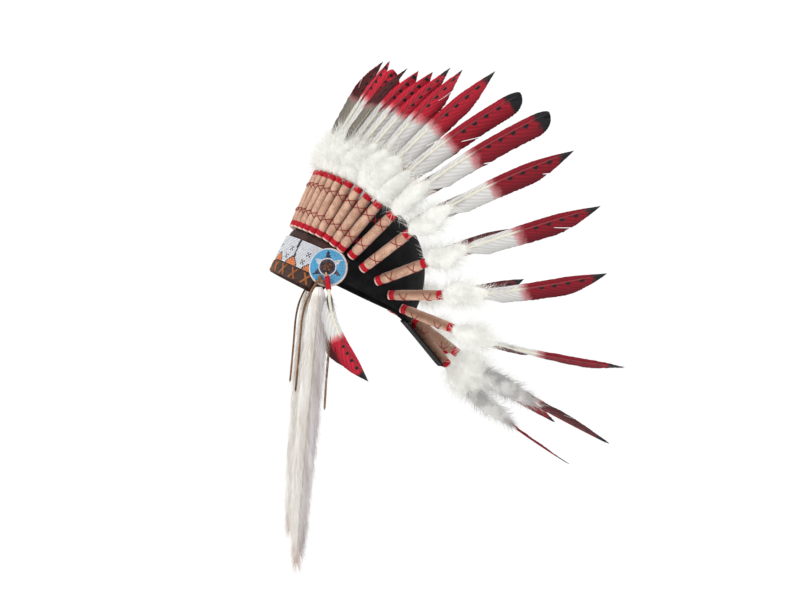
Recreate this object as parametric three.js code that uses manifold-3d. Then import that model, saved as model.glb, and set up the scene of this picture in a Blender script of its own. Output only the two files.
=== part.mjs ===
// A feathered headdress: a black felt cap with a suede brow band, thirty-three wrapped feathers that
// stand out from it in a fan, and fur, thong and feather drops hanging at two beaded rosettes.
// Millimetres. +Z is up, the wearer faces -Y and the wearer's left is +X. The origin is the middle
// of the head opening, level with the lower edge of the brow band.
import * as THREE from "three";
import { mergeVertices } from "three/addons/utils/BufferGeometryUtils.js";
import Module from "manifold-3d";

const wasm = await Module();
wasm.setup();

// Head opening and felt cap
const headLength = 193;
const headWidth = 156;
const feltWall = 2;
const domeHeight = 106;
const widestLevel = 40;
const capEdgeLevel = 26;
const napeDip = 11;
const napeDipTurn = 138;
const browTilt = 26;
const headSteps = 36;
const domeRises = [24, 46, 68];

// Tab of felt under the nape wraps
const tabWidth = 58;
const tabEndWidth = 44;
const tabLength = 72;

// Brow band, bead panel and cross trim
const gap = 0.3;
const bandHeight = 64;
const bandWall = 2;
const bandTurn = 80;
const bandCornerTurn = 12;
const bandFallTurn = 30;
const bandFall = 0.16;
const trimHeight = 17.5;
const trimWall = 1.6;
const panelHeight = 35;
const panelWall = 2;
const panelTurn = 62;

// Rosettes and their buttons
const rosetteDiameter = 51;
const rosetteWall = 3;
const rosetteTurn = 68;
const rosetteLevel = 34;
const rosetteSides = 16;
const buttonDiameter = 13;
const buttonHeight = 4;
const buttonSides = 12;

// Quill wraps
const wrapLength = 82;
const wrapDiameter = 13.4;
const wrapSides = 8;
const bindingLength = 9;
const boundDiameter = 12.3;

// Feathers
const featherLength = 225;
const vaneWidth = 31;
const quillDiameter = 4;
const plumeLength = 80;
const plumeWidth = 36;
const plumeDepth = 30;
const plumeSides = 4;

// Fur drops
const furLength = 362;
const furWidth = 34;
const furDepth = 11;
const furRows = 5;
const furBelowKnot = 2.4;

// Thongs
const thongDiameter = 4;
const thongSides = 8;
const thongSteps = 11;
const knotWidth = 12;
const knotHeight = 13;
const knotDepth = 7;

// Drop feathers
const dropFeatherLength = 128;
const dropVaneWidth = 32;
const dropBindingLength = 17;
const dropBindingDiameter = 7;
const dropQuillDiameter = 3.2;

// One row for each feather of a side, from the brow back to the nape. turn: degrees round the head
// from the brow. foot: level of the wrap's foot, a share of bandHeight. lean: degrees above straight
// back. flare: degrees out to the side. droop and splay: how many degrees the tip bends back and out.
// wrap and long: shares of wrapLength and featherLength. louvre: degrees the vane tilts, its leading
// edge out, so that each feather tucks under the one behind it. row and out: the plume's shares of
// plumeWidth along the row and of plumeDepth away from the head.
const stations = [
  {
    turn: 4, foot: 1.01, lean: 92, flare: 2, droop: 6, splay: 10, wrap: 1,
    long: 0.745, louvre: 34, row: 0.38, out: 1,
  },
  {
    turn: 11.8, foot: 1.01, lean: 91.5, flare: 5, droop: 7, splay: 15, wrap: 1,
    long: 0.765, louvre: 36, row: 0.38, out: 1,
  },
  {
    turn: 19.4, foot: 1.01, lean: 91, flare: 8, droop: 9, splay: 19, wrap: 1,
    long: 0.785, louvre: 37, row: 0.38, out: 1,
  },
  {
    turn: 26.6, foot: 1.01, lean: 90.5, flare: 10, droop: 11, splay: 22, wrap: 1,
    long: 0.82, louvre: 40, row: 0.37, out: 1,
  },
  {
    turn: 33.6, foot: 1.01, lean: 89.5, flare: 12, droop: 12, splay: 24, wrap: 1,
    long: 0.855, louvre: 40, row: 0.37, out: 1,
  },
  {
    turn: 40.8, foot: 1.01, lean: 88.5, flare: 14, droop: 13, splay: 24, wrap: 1,
    long: 0.89, louvre: 38, row: 0.37, out: 1,
  },
  {
    turn: 48.2, foot: 1.01, lean: 87, flare: 16, droop: 12, splay: 21, wrap: 1,
    long: 0.905, louvre: 27, row: 0.38, out: 1,
  },
  {
    turn: 55.7, foot: 1, lean: 84.5, flare: 18, droop: 9, splay: 15, wrap: 1,
    long: 0.915, louvre: 17, row: 0.4, out: 1,
  },
  {
    turn: 62.7, foot: 0.965, lean: 81, flare: 20.5, droop: 10, splay: 6.5, wrap: 1,
    long: 0.98, louvre: 15, row: 0.43, out: 1,
  },
  {
    turn: 69.5, foot: 0.935, lean: 77.5, flare: 22.5, droop: 13.5, splay: 0.5, wrap: 1,
    long: 0.98, louvre: 18, row: 0.43, out: 1,
  },
  {
    turn: 79, foot: 0.91, lean: 72.4, flare: 27, droop: 13, splay: -3, wrap: 1,
    long: 1.015, louvre: 12, row: 0.66, out: 0.95,
  },
  {
    turn: 90.5, foot: 0.785, lean: 65, flare: 30, droop: 12, splay: -5, wrap: 1,
    long: 1.005, louvre: 11, row: 0.85, out: 0.9,
  },
  {
    turn: 104, foot: 0.7, lean: 47.5, flare: 30, droop: 3, splay: -5, wrap: 0.9,
    long: 1.005, louvre: 12, row: 1, out: 0.9,
  },
  {
    turn: 118, foot: 0.575, lean: 26, flare: 30, droop: -8, splay: -5, wrap: 0.9,
    long: 0.92, louvre: 18, row: 1, out: 0.9,
  },
  {
    turn: 136, foot: 0.465, lean: 3, flare: 30, droop: -10, splay: -6, wrap: 0.94,
    long: 0.98, louvre: 34, row: 0.95, out: 0.9,
  },
  {
    turn: 174.2, foot: 0.405, lean: -13, flare: 22, droop: -7, splay: 0, wrap: 0.94,
    long: 1.02, louvre: 52, row: 0.85, out: 0.9,
  },
];
const rowStations = 10;
const pairedWraps = 15;
const nape = {
  turn: 180, foot: 0.35, lean: -24, flare: 0, droop: -11, splay: 0, wrap: 0.94,
  long: 0.98, louvre: 0, row: 0.9, out: 0.85,
};

// Sections of a vane from root to tip. along: share of its length. narrow and wide: shares of the
// vane's width on each side of the shaft. shaft: share of the quill's thickness.
const vaneSections = [
  { along: 0, narrow: 0.065, wide: 0.065, shaft: 1 },
  { along: 0.29, narrow: 0.1, wide: 0.13, shaft: 0.85 },
  { along: 0.43, narrow: 0.21, wide: 0.6, shaft: 0.7 },
  { along: 0.66, narrow: 0.24, wide: 0.76, shaft: 0.6 },
  { along: 0.84, narrow: 0.23, wide: 0.74, shaft: 0.5 },
  { along: 0.94, narrow: 0.15, wide: 0.48, shaft: 0.4 },
];
const vaneCamber = 0.12;

// Locks of a plume. from: where the lock starts on the quill. off: where it bulges, a share of the
// plume's depth from its middle. wide and deep: the lock's own shares of the plume. long: share of
// plumeLength.
const plumeLocks = [
  { from: 1.5, off: 0.1, wide: 1, deep: 0.8, long: 1 },
  { from: 4, off: -0.22, wide: 0.74, deep: 0.56, long: 0.76 },
];
const lockSections = [
  { along: 0, size: 0.3 },
  { along: 0.3, size: 1 },
  { along: 0.66, size: 0.86 },
];

// Routes of the two thong tails of the left side from the knot: out, back and up.
const frontTail = [
  [0.3, -3, -2], [0.9, -7.4, -8.4], [0, -11, -14], [-2, -14, -20], [-3.5, -17, -27],
  [-4, -19.5, -35], [-4, -21.5, -44], [-4, -23, -54], [-4, -24, -65], [-4, -25, -77],
  [-4, -26, -90], [-4, -27.2, -103], [-4, -28.4, -116], [-4, -29.6, -129], [-4, -31, -142],
];
const rearTail = [
  [0.3, 3, -2], [0.9, 7.4, -8.4], [0, 10.5, -14], [-2, 12.5, -20], [-3.5, 13.8, -28],
  [-4, 14.4, -37], [-4, 14.4, -47], [-4, 14, -58], [-4, 13.2, -70], [-4, 12.2, -83],
  [-4, 11, -97], [-4, 9.8, -111], [-4, 8.6, -125], [-4, 7.6, -139], [-4, 6.8, -153],
  [-4, 6, -166],
];

const black = new THREE.MeshStandardMaterial({ color: 0x1b1b1f, roughness: 0.95 });
const suede = new THREE.MeshStandardMaterial({ color: 0x4a3230, roughness: 0.95 });
const beads = new THREE.MeshStandardMaterial({ color: 0xe6e8ec, roughness: 0.35 });
const trim = new THREE.MeshStandardMaterial({ color: 0x3b2420, roughness: 0.9 });
const skyBeads = new THREE.MeshStandardMaterial({ color: 0x55b8e6, roughness: 0.35 });
const bronze = new THREE.MeshStandardMaterial({ color: 0x4a332c, roughness: 0.4, metalness: 0.8 });
const hide = new THREE.MeshStandardMaterial({ color: 0xc49a80, roughness: 0.9 });
const down = new THREE.MeshStandardMaterial({ color: 0xefeee6, roughness: 0.95 });
const fur = new THREE.MeshStandardMaterial({ color: 0xeee9e2, roughness: 0.95 });
const thong = new THREE.MeshStandardMaterial({ color: 0x6a4636, roughness: 0.9 });

const sideways = new THREE.Vector3(1, 0, 0);
const radians = THREE.MathUtils.degToRad;

// A geometry from rings of points. A ring of one point closes an end, and longer end rings get a
// flat cap. The faces are turned so that they point out. Each quad is split on the diagonal that
// leads on round the ring, or on the other where leansBack(place in the ring) says so.
function loft(rings, leansBack = () => false) {
  const points = rings.flat();
  const starts = [];
  let count = 0;
  for (const ring of rings) {
    starts.push(count);
    count += ring.length;
  }
  const faces = [];
  for (let i = 0; i + 1 < rings.length; i += 1) {
    const [a, b] = [rings[i].length, rings[i + 1].length];
    const around = Math.max(a, b);
    for (let j = 0; j < around; j += 1) {
      const k = (j + 1) % around;
      if (a > 1 && b > 1 && leansBack(j)) {
        faces.push([starts[i] + j, starts[i] + k, starts[i + 1] + j]);
        faces.push([starts[i] + k, starts[i + 1] + k, starts[i + 1] + j]);
        continue;
      }
      if (a > 1) faces.push([starts[i] + j, starts[i] + k, starts[i + 1] + (b > 1 ? k : 0)]);
      if (b > 1) faces.push([starts[i] + (a > 1 ? j : 0), starts[i + 1] + k, starts[i + 1] + j]);
    }
  }
  for (let j = 1; j + 1 < rings[0].length; j += 1) {
    faces.push([starts[0], starts[0] + j + 1, starts[0] + j]);
  }
  const last = rings.length - 1;
  for (let j = 1; j + 1 < rings[last].length; j += 1) {
    faces.push([starts[last], starts[last] + j, starts[last] + j + 1]);
  }
  let volume = 0;
  for (const [a, b, c] of faces) {
    volume += points[a].dot(new THREE.Vector3().crossVectors(points[b], points[c]));
  }
  const index = faces.flatMap(([a, b, c]) => (volume > 0 ? [a, b, c] : [a, c, b]));
  const geometry = new THREE.BufferGeometry();
  geometry.setAttribute("position", new THREE.Float32BufferAttribute(points.flatMap((p) => p.toArray()), 3));
  geometry.setIndex(index);
  return geometry;
}

function toSolid(geometry) {
  const bare = geometry.clone();
  bare.deleteAttribute("normal");
  bare.deleteAttribute("uv");
  const merged = mergeVertices(bare, 1e-4);
  return new wasm.Manifold(new wasm.Mesh({
    numProp: 3,
    vertProperties: Float32Array.from(merged.attributes.position.array),
    triVerts: Uint32Array.from(merged.index.array),
  }));
}

function fuse(geometries) {
  const mesh = geometries.map(toSolid).reduce((whole, piece) => whole.add(piece)).getMesh();
  const geometry = new THREE.BufferGeometry();
  geometry.setAttribute("position", new THREE.Float32BufferAttribute(mesh.vertProperties, 3));
  geometry.setIndex(Array.from(mesh.triVerts));
  return geometry;
}

// The same geometry for the wearer's right side.
function mirrored(geometry) {
  const copy = geometry.clone();
  const place = copy.attributes.position;
  for (let i = 0; i < place.count; i += 1) place.setX(i, -place.getX(i));
  const index = copy.index.array;
  for (let i = 0; i < index.length; i += 3) [index[i + 1], index[i + 2]] = [index[i + 2], index[i + 1]];
  return copy;
}

function piece(name, geometry, material) {
  const faceted = geometry.index ? geometry.toNonIndexed() : geometry;
  faceted.computeVertexNormals();
  const mesh = new THREE.Mesh(faceted, material);
  mesh.name = name;
  return mesh;
}

// A point round the head: degrees from the brow, level, and distance outside the head opening.
function roundHead(turn, level, out) {
  const rise = Math.max(0, level - widestLevel) / (domeHeight + out);
  const share = Math.sqrt(Math.max(0, 1 - rise * rise));
  const x = (headWidth / 2 + out) * share * Math.sin(radians(turn));
  const y = -(headLength / 2 + out) * share * Math.cos(radians(turn));
  return new THREE.Vector3(x, y, level);
}

// The direction straight out of the cap at that place.
function awayFromHead(turn, level, out) {
  const p = roundHead(turn, level, out);
  return new THREE.Vector3(
    p.x / (headWidth / 2 + out) ** 2,
    p.y / (headLength / 2 + out) ** 2,
    Math.max(0, level - widestLevel) / (domeHeight + out) ** 2,
  ).normalize();
}

// The level of the dome's facet ring at a rise, in degrees up the dome.
function domeLevel(rise, out) {
  return widestLevel + (domeHeight + out) * Math.sin(radians(rise));
}

// A point on the cap's outer facets, which lie a little inside the round shape.
function onCap(turn, level) {
  const levels = [0, widestLevel, ...domeRises.map((rise) => domeLevel(rise, feltWall))];
  const above = levels.findIndex((step) => step >= level);
  const [low, high] = [levels[above - 1], levels[above]];
  const width = 360 / headSteps;
  const from = Math.floor(turn / width) * width;
  const [around, up] = [(turn - from) / width, (level - low) / (high - low)];
  const at = (step) => roundHead(from, step, feltWall).lerp(roundHead(from + width, step, feltWall), around);
  return at(low).lerp(at(high), up);
}

function smooth(share) {
  const s = Math.min(1, Math.max(0, share));
  return s * s * (3 - 2 * s);
}

// A direction in the sagittal plane raised by lean from straight back, then turned out by flare.
function direction(lean, flare) {
  const [l, f] = [radians(lean), radians(flare)];
  return new THREE.Vector3(Math.sin(f), Math.cos(f) * Math.cos(l), Math.cos(f) * Math.sin(l));
}

// The felt cap: an outer and an inner dome joined at the rim, which dips at the nape, with the tab.
function capGeometry() {
  const edge = (turn) => capEdgeLevel
    - napeDip * smooth((Math.abs(turn) - napeDipTurn) / (180 - napeDipTurn));
  const ring = (out, levelAt) => {
    const points = [];
    for (let j = 0; j < headSteps; j += 1) {
      const turn = (360 * j) / headSteps - 180;
      points.push(roundHead(turn, levelAt(turn), out));
    }
    return points;
  };
  const side = (out) => [
    ring(out, edge),
    ring(out, () => widestLevel),
    ...domeRises.map((rise) => ring(out, () => domeLevel(rise, out))),
    [new THREE.Vector3(0, 0, widestLevel + domeHeight + out)],
  ];
  return fuse([loft([...side(feltWall).reverse(), ...side(0)]), tabGeometry()]);
}

// The tab runs back and down from the nape, just under the nape wraps, as far as they reach.
function tabGeometry() {
  const { start, along } = wrapPlace(nape);
  const across = new THREE.Vector3(1, 0, 0);
  const under = new THREE.Vector3().crossVectors(across, along).negate();
  const rootBack = feltWall + wrapDiameter / 2;
  const place = (distance, drop, side) => start.clone()
    .addScaledVector(along, distance)
    .addScaledVector(under, drop)
    .addScaledVector(across, side);
  const top = wrapDiameter / 2 + gap;
  const ring = (distance, width) => [
    place(distance, top, -width / 2),
    place(distance, top, width / 2),
    place(distance, top + feltWall, width / 2),
    place(distance, top + feltWall, -width / 2),
  ];
  return loft([ring(-rootBack, tabWidth), ring(tabLength, tabEndWidth)]);
}

// A strip that follows the head between two levels, from one side round the brow to the other.
function strip(reach, inner, wall, low, high) {
  const turns = [];
  const step = 360 / headSteps;
  for (let turn = -Math.floor(reach / step) * step; turn <= reach; turn += step) turns.push(turn);
  turns.unshift(-reach);
  turns.push(reach);
  const middle = (turn) => Math.max(low(turn), Math.min(high(turn), widestLevel));
  return loft(turns.map((turn) => [
    roundHead(turn, middle(turn), inner),
    roundHead(turn, low(turn), inner),
    roundHead(turn, low(turn), inner + wall),
    roundHead(turn, middle(turn), inner + wall),
    roundHead(turn, high(turn), inner + wall),
    roundHead(turn, high(turn), inner),
  ]));
}

const bandInner = feltWall + gap;
const trimInner = bandInner + bandWall + gap;
const rosetteInner = trimInner + Math.max(trimWall, panelWall) + gap;
const rosetteOuter = rosetteInner + rosetteWall;

// The back corner of the band is rounded off behind the rosette, and its top falls towards it.
function bandLow(turn) {
  const into = (Math.abs(turn) - (bandTurn - bandCornerTurn)) / bandCornerTurn;
  return capEdgeLevel * smooth(into);
}

function bandHigh(turn) {
  const into = (Math.abs(turn) - (bandTurn - bandFallTurn)) / bandFallTurn;
  return bandHeight * (1 - bandFall * smooth(into));
}

// A disc bent round the head at the temple, from one distance outside the head opening to another.
function templeDisc(diameter, inner, wall, rimWall, sides, rings) {
  const centre = roundHead(rosetteTurn, rosetteLevel, inner);
  const ahead = roundHead(rosetteTurn + 1, rosetteLevel, inner);
  const perDegree = centre.distanceTo(ahead);
  const place = (radius, angle, out) => roundHead(
    rosetteTurn + (radius * Math.cos(angle)) / perDegree,
    rosetteLevel + radius * Math.sin(angle),
    out,
  );
  const ring = (share, out) => {
    if (share === 0) return [place(0, 0, out)];
    const points = [];
    for (let j = 0; j < sides; j += 1) {
      points.push(place((share * diameter) / 2, (2 * Math.PI * j) / sides, out));
    }
    return points;
  };
  const back = rings.map((share) => ring(share, inner));
  const front = rings.map((share) => {
    const crown = 1 - share ** 2;
    return ring(share, inner + rimWall + (wall - rimWall) * crown);
  });
  return loft([...back, ...front.reverse()]);
}

// Where a station's wrap starts and which way it points. It lies on the cap, one gap away.
function wrapPlace(station) {
  const level = station.foot * bandHeight;
  const along = direction(station.lean, station.flare);
  const away = awayFromHead(station.turn, level, feltWall);
  const slope = along.dot(away);
  const clear = (boundDiameter / 2) * Math.sqrt(1 - slope * slope) + gap;
  const start = onCap(station.turn, level).addScaledVector(away, clear);
  const across = roundHead(station.turn + 1, level, feltWall)
    .sub(roundHead(station.turn - 1, level, feltWall));
  across.addScaledVector(along, -across.dot(along)).normalize();
  return { start, along, across };
}

// A quill wrap: a leather tube that its thread bindings pinch at both ends.
function wrapGeometry(station) {
  const [full, bound] = [wrapDiameter / 2, boundDiameter / 2];
  const length = wrapLength * station.wrap;
  const profile = [
    new THREE.Vector2(0, 0),
    new THREE.Vector2(bound, 0),
    new THREE.Vector2(full, bindingLength),
    new THREE.Vector2(full, length - bindingLength),
    new THREE.Vector2(bound, length),
    new THREE.Vector2(0, length),
  ];
  const { start, along, across } = wrapPlace(station);
  const outward = new THREE.Vector3().crossVectors(across, along);
  const turned = new THREE.Matrix4().makeBasis(across, along, outward);
  const bare = new THREE.LatheGeometry(profile, wrapSides);
  bare.deleteAttribute("normal");
  bare.deleteAttribute("uv");
  const geometry = mergeVertices(bare, 1e-4);
  const index = [];
  for (let i = 0; i < geometry.index.count; i += 3) {
    const [a, b, c] = [0, 1, 2].map((k) => geometry.index.getX(i + k));
    if (a !== b && b !== c && c !== a) index.push(a, b, c);
  }
  geometry.setIndex(index);
  return geometry.applyMatrix4(turned).translate(...start.toArray());
}

// The curve of a quill from the wrap's end to its tip.
function quillCurve(station) {
  const { start, along } = wrapPlace(station);
  const root = start.clone().addScaledVector(along, wrapLength * station.wrap + gap);
  const length = featherLength * station.long;
  const chord = direction(station.lean - station.droop, station.flare + station.splay);
  const knee = root.clone().addScaledVector(along, length * 0.4);
  return new THREE.QuadraticBezierCurve3(root, knee, root.clone().addScaledVector(chord, length));
}

// A vane with its shaft along a curve. facing(share) is where its flat looks at that share of it.
// Its front and back faces are split alike, so that a twisted vane stays a thin wedge to its edges.
function vane(curve, width, quill, facing) {
  const rings = vaneSections.map((section) => {
    const middle = curve.getPoint(section.along);
    const along = curve.getTangent(section.along);
    const out = facing(section.along);
    out.addScaledVector(along, -out.dot(along)).normalize();
    const side = new THREE.Vector3().crossVectors(along, out);
    const [narrow, wide] = [section.narrow * width, section.wide * width];
    const half = (quill / 2) * section.shaft;
    return [
      middle.clone().addScaledVector(side, -narrow).addScaledVector(out, -vaneCamber * narrow),
      middle.clone().addScaledVector(out, half),
      middle.clone().addScaledVector(side, wide).addScaledVector(out, -vaneCamber * wide),
      middle.clone().addScaledVector(out, -half),
    ];
  });
  return loft([...rings, [curve.getPoint(1)]], (place) => place > 1);
}

// One lock of down: a spindle with a blunt root and a pointed end, bulging to one side.
function plumeLock(curve, lock, station, across, outward) {
  const length = plumeLength * lock.long;
  const whole = curve.getLength();
  const wide = (plumeWidth / 2) * station.row * lock.wide;
  const deep = (plumeDepth / 2) * station.out * lock.deep;
  const shift = plumeDepth * station.out * lock.off;
  const rings = lockSections.map((section) => {
    const bulge = section.along === 0 ? 0 : section.size;
    const middle = curve.getPointAt((lock.from + section.along * length) / whole)
      .addScaledVector(outward, shift * bulge);
    const points = [];
    for (let j = 0; j < plumeSides; j += 1) {
      const angle = (2 * Math.PI * j) / plumeSides;
      points.push(middle.clone()
        .addScaledVector(across, wide * section.size * Math.sin(angle))
        .addScaledVector(outward, deep * section.size * Math.cos(angle)));
    }
    return points;
  });
  const end = curve.getPointAt((lock.from + length) / whole).addScaledVector(outward, shift * 0.7);
  return loft([...rings, [end]]);
}

// A feather: its vane on the quill, and its down plume in locks round the quill's foot. before and
// after are the quills of the feathers next to it, which give the way that the fan faces there.
function featherGeometry(station, before, after) {
  const curve = quillCurve(station);
  const facing = (share) => {
    const along = curve.getTangent(share);
    const row = after.getPoint(share).sub(before.getPoint(share));
    const out = new THREE.Vector3().crossVectors(row, along).normalize();
    return out.applyAxisAngle(along, radians(station.louvre));
  };
  const { along, across } = wrapPlace(station);
  const outward = new THREE.Vector3().crossVectors(across, along).normalize();
  return fuse([
    vane(curve, vaneWidth, quillDiameter, facing),
    ...plumeLocks.map((lock) => plumeLock(curve, lock, station, across, outward)),
  ]);
}

// The quill of the feather in the same place on the wearer's right side.
function mirroredCurve(curve) {
  const across = (p) => new THREE.Vector3(-p.x, p.y, p.z);
  return new THREE.QuadraticBezierCurve3(across(curve.v0), across(curve.v1), across(curve.v2));
}

// From the tilted head to the upright world, where the drops hang.
const tilt = new THREE.Euler(-radians(browTilt), 0, 0);
const knotLevel = rosetteLevel - rosetteDiameter * 0.38;
const knotPlace = roundHead(rosetteTurn, knotLevel, rosetteOuter + gap + knotDepth / 2).applyEuler(tilt);
const knotFacing = awayFromHead(rosetteTurn, knotLevel, rosetteOuter).applyEuler(tilt);
const rosettePlace = roundHead(rosetteTurn, rosetteLevel, rosetteOuter).applyEuler(tilt);

// A hanging lock of fur, flat against its strap, from a root to a point.
function furLock(root, end, wide, deep) {
  const along = new THREE.Vector3().subVectors(end, root).normalize();
  const back = new THREE.Vector3(0, 1, 0).addScaledVector(along, -along.y).normalize();
  const ring = (share, size) => {
    const middle = root.clone().lerp(end, share);
    return [[1, 0], [0, 1], [-1, 0], [0, -1]].map(([b, s]) => middle.clone()
      .addScaledVector(back, b * wide * size)
      .addScaledVector(sideways, s * deep * size));
  };
  return loft([ring(0, 0.5), ring(0.45, 1), [end]]);
}

// The fur drop hangs from the knot, a little forward at its foot.
function furGeometry() {
  const top = knotPlace.clone().add(new THREE.Vector3(1.5, -1.5, -knotHeight / 2 - furBelowKnot));
  const curve = new THREE.CatmullRomCurve3([
    top,
    top.clone().add(new THREE.Vector3(furDepth * 0.6, -0.004 * furLength, -0.04 * furLength)),
    top.clone().add(new THREE.Vector3(furDepth * 0.75, -0.02 * furLength, -0.25 * furLength)),
    top.clone().add(new THREE.Vector3(furDepth * 0.75, -0.055 * furLength, -0.65 * furLength)),
    top.clone().add(new THREE.Vector3(furDepth * 0.75, -0.085 * furLength, -furLength)),
  ]);
  const strap = [
    { along: 0, wide: 0.12, deep: 0.35 },
    { along: 0.05, wide: 0.2, deep: 0.36 },
    { along: 0.2, wide: 0.4, deep: 0.42 },
    { along: 0.5, wide: 0.38, deep: 0.42 },
    { along: 0.85, wide: 0.28, deep: 0.36 },
  ].map((section) => {
    const middle = curve.getPointAt(section.along);
    const [wide, deep] = [section.wide * furWidth, section.deep * furDepth];
    return [[1, 0], [0, 1], [-1, 0], [0, -1]].map(([b, s]) => middle.clone()
      .add(new THREE.Vector3(s * deep, b * wide, 0)));
  });
  const parts = [loft([...strap, [curve.getPointAt(1)]])];
  for (let row = 0; row < furRows; row += 1) {
    const from = 0.045 + (0.74 * row) / (furRows - 1);
    const spread = furWidth * (0.2 + 0.1 * Math.sin(Math.PI * Math.min(1, from * 1.4)));
    for (const side of [-1, 1]) {
      const stagger = side > 0 ? 0.035 : 0;
      const root = curve.getPointAt(from + stagger);
      const end = curve.getPointAt(Math.min(0.985, from + stagger + 0.2));
      root.y += side * spread * 0.5;
      end.y += side * spread * (row === furRows - 1 ? 0.3 : 1.15);
      parts.push(furLock(root, end, furWidth * 0.26, furDepth * 0.48));
    }
  }
  return fuse(parts);
}

function tailGeometry(route) {
  const points = route.map(([out, back, up]) => knotPlace.clone().add(new THREE.Vector3(out, back, up)));
  const section = new THREE.Shape();
  for (let j = 0; j < thongSides; j += 1) {
    const angle = (2 * Math.PI * j) / thongSides;
    const [x, y] = [(thongDiameter / 2) * Math.cos(angle), (thongDiameter / 2) * Math.sin(angle)];
    if (j === 0) section.moveTo(x, y);
    else section.lineTo(x, y);
  }
  section.closePath();
  return new THREE.ExtrudeGeometry(section, {
    steps: thongSteps,
    extrudePath: new THREE.CatmullRomCurve3(points),
    bevelEnabled: false,
  });
}

// The knot is a rounded pad against the rosette, and its two tails hang behind the fur.
function thongsGeometry() {
  const turned = new THREE.Quaternion().setFromUnitVectors(sideways, knotFacing);
  const knot = new THREE.SphereGeometry(0.5, 8, 4)
    .scale(knotDepth, knotWidth, knotHeight)
    .applyQuaternion(turned)
    .translate(...knotPlace.toArray());
  return fuse([knot, tailGeometry(frontTail), tailGeometry(rearTail)]);
}

// The drop feather: its bound quill lies on the rosette, and its vane hangs in front of the fur.
function dropFeatherGeometry() {
  const quillTop = rosettePlace.clone()
    .add(new THREE.Vector3(dropQuillDiameter / 2 + gap, -2, -buttonDiameter / 2 - 1));
  const step = (out, back, downward) => quillTop.clone()
    .add(new THREE.Vector3(out, back, -downward));
  const bindingTop = step(4, 1, 5);
  const bindingEnd = step(11, 3, 5 + dropBindingLength);
  const long = dropFeatherLength;
  const curve = new THREE.CubicBezierCurve3(
    bindingEnd,
    bindingEnd.clone().add(new THREE.Vector3(0.1 * long, 0, -0.3 * long)),
    bindingEnd.clone().add(new THREE.Vector3(0.11 * long, 0.1 * long, -0.5 * long)),
    bindingEnd.clone().add(new THREE.Vector3(0.1 * long, 0.38 * long, -0.9 * long)),
  );
  const rod = (from, to, fromRadius, toRadius, sides) => {
    const along = new THREE.Vector3().subVectors(to, from).normalize();
    const back = new THREE.Vector3(0, 1, 0).addScaledVector(along, -along.y).normalize();
    const out = new THREE.Vector3().crossVectors(along, back);
    const ring = (middle, radius) => Array.from({ length: sides }, (_, j) => middle.clone()
      .addScaledVector(back, radius * Math.cos((2 * Math.PI * j) / sides))
      .addScaledVector(out, radius * Math.sin((2 * Math.PI * j) / sides)));
    return loft([ring(from, fromRadius), ring(to, toRadius)]);
  };
  const [binding, quill] = [dropBindingDiameter / 2, dropQuillDiameter];
  return fuse([
    rod(quillTop, bindingTop.clone().lerp(bindingEnd, 0.1), quill / 2, quill * 0.7, 6),
    rod(bindingTop, bindingEnd.clone().addScaledVector(curve.getTangent(0), 1), binding * 0.85, binding, 8),
    vane(curve, dropVaneWidth, quillDiameter * 0.8, () => new THREE.Vector3(1, -0.15, 0)),
  ]);
}

const head = new THREE.Group();
head.rotation.copy(tilt);

head.add(piece("cap", capGeometry(), black));
head.add(piece("brow_band", strip(bandTurn, bandInner, bandWall, bandLow, bandHigh), suede));
head.add(piece("cross_trim", strip(panelTurn, trimInner, trimWall, () => 0, () => trimHeight), trim));
const panelLow = trimHeight + gap;
head.add(piece(
  "bead_panel",
  strip(panelTurn, trimInner, panelWall, () => panelLow, () => panelLow + panelHeight),
  beads,
));

const sides = [{ side: "left", place: (g) => g }, { side: "right", place: mirrored }];
const rosette = templeDisc(
  rosetteDiameter, rosetteInner, rosetteWall, rosetteWall * 0.7, rosetteSides, [0, 0.5, 1],
);
const button = templeDisc(
  buttonDiameter, rosetteOuter + gap, buttonHeight, buttonHeight * 0.3, buttonSides, [0, 0.6, 1],
);
for (const { side, place } of sides) {
  head.add(piece(`rosette_${side}`, place(rosette), skyBeads));
  head.add(piece(`button_${side}`, place(button), bronze));
}

const rowWraps = stations.slice(0, rowStations).map(wrapGeometry);
head.add(piece("wrap_row", fuse([...rowWraps, ...rowWraps.map(mirrored)]), hide));
const lastWrap = wrapGeometry(stations[pairedWraps]);
head.add(piece("wraps_nape", fuse([wrapGeometry(nape), lastWrap, mirrored(lastWrap)]), hide));
const quills = [...stations, nape].map(quillCurve);
for (const [i, station] of stations.entries()) {
  const number = String(i + 1).padStart(2, "0");
  const before = i > 0 ? quills[i - 1] : mirroredCurve(quills[0]);
  const feather = featherGeometry(station, before, quills[i + 1]);
  for (const { side, place } of sides) {
    if (i >= rowStations && i < pairedWraps) {
      head.add(piece(`wrap_${number}_${side}`, place(wrapGeometry(station)), hide));
    }
    head.add(piece(`feather_${number}_${side}`, place(feather), down));
  }
}
const lastQuill = quills[pairedWraps];
head.add(piece("feather_nape", featherGeometry(nape, lastQuill, mirroredCurve(lastQuill)), down));

const drops = new THREE.Group();
const [furDrop, thongs, dropFeather] = [furGeometry(), thongsGeometry(), dropFeatherGeometry()];
for (const { side, place } of sides) {
  drops.add(piece(`fur_drop_${side}`, place(furDrop), fur));
  drops.add(piece(`thongs_${side}`, place(thongs), thong));
  drops.add(piece(`drop_feather_${side}`, place(dropFeather), down));
}

const headdress = new THREE.Group();
headdress.add(head, drops);

export default headdress;
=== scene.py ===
# %% [markdown]
# # A feathered headdress
#
# The real object is a felt cap with a suede brow band. Feathers stand out from it in a fan, each with
# its quill in a leather wrap, and fur, thongs and small feathers hang at two beaded rosettes.
# The solids of the frame give the places and sizes. This lesson dresses them: vanes with barbs, down,
# seed beads, thread, suede, felt and fur. Lengths are in metres, and `mm` keeps them readable.

# %% Load the frame
import math
import random

import bpy
import numpy as np
from mathutils import Matrix, Vector, noise


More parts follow.
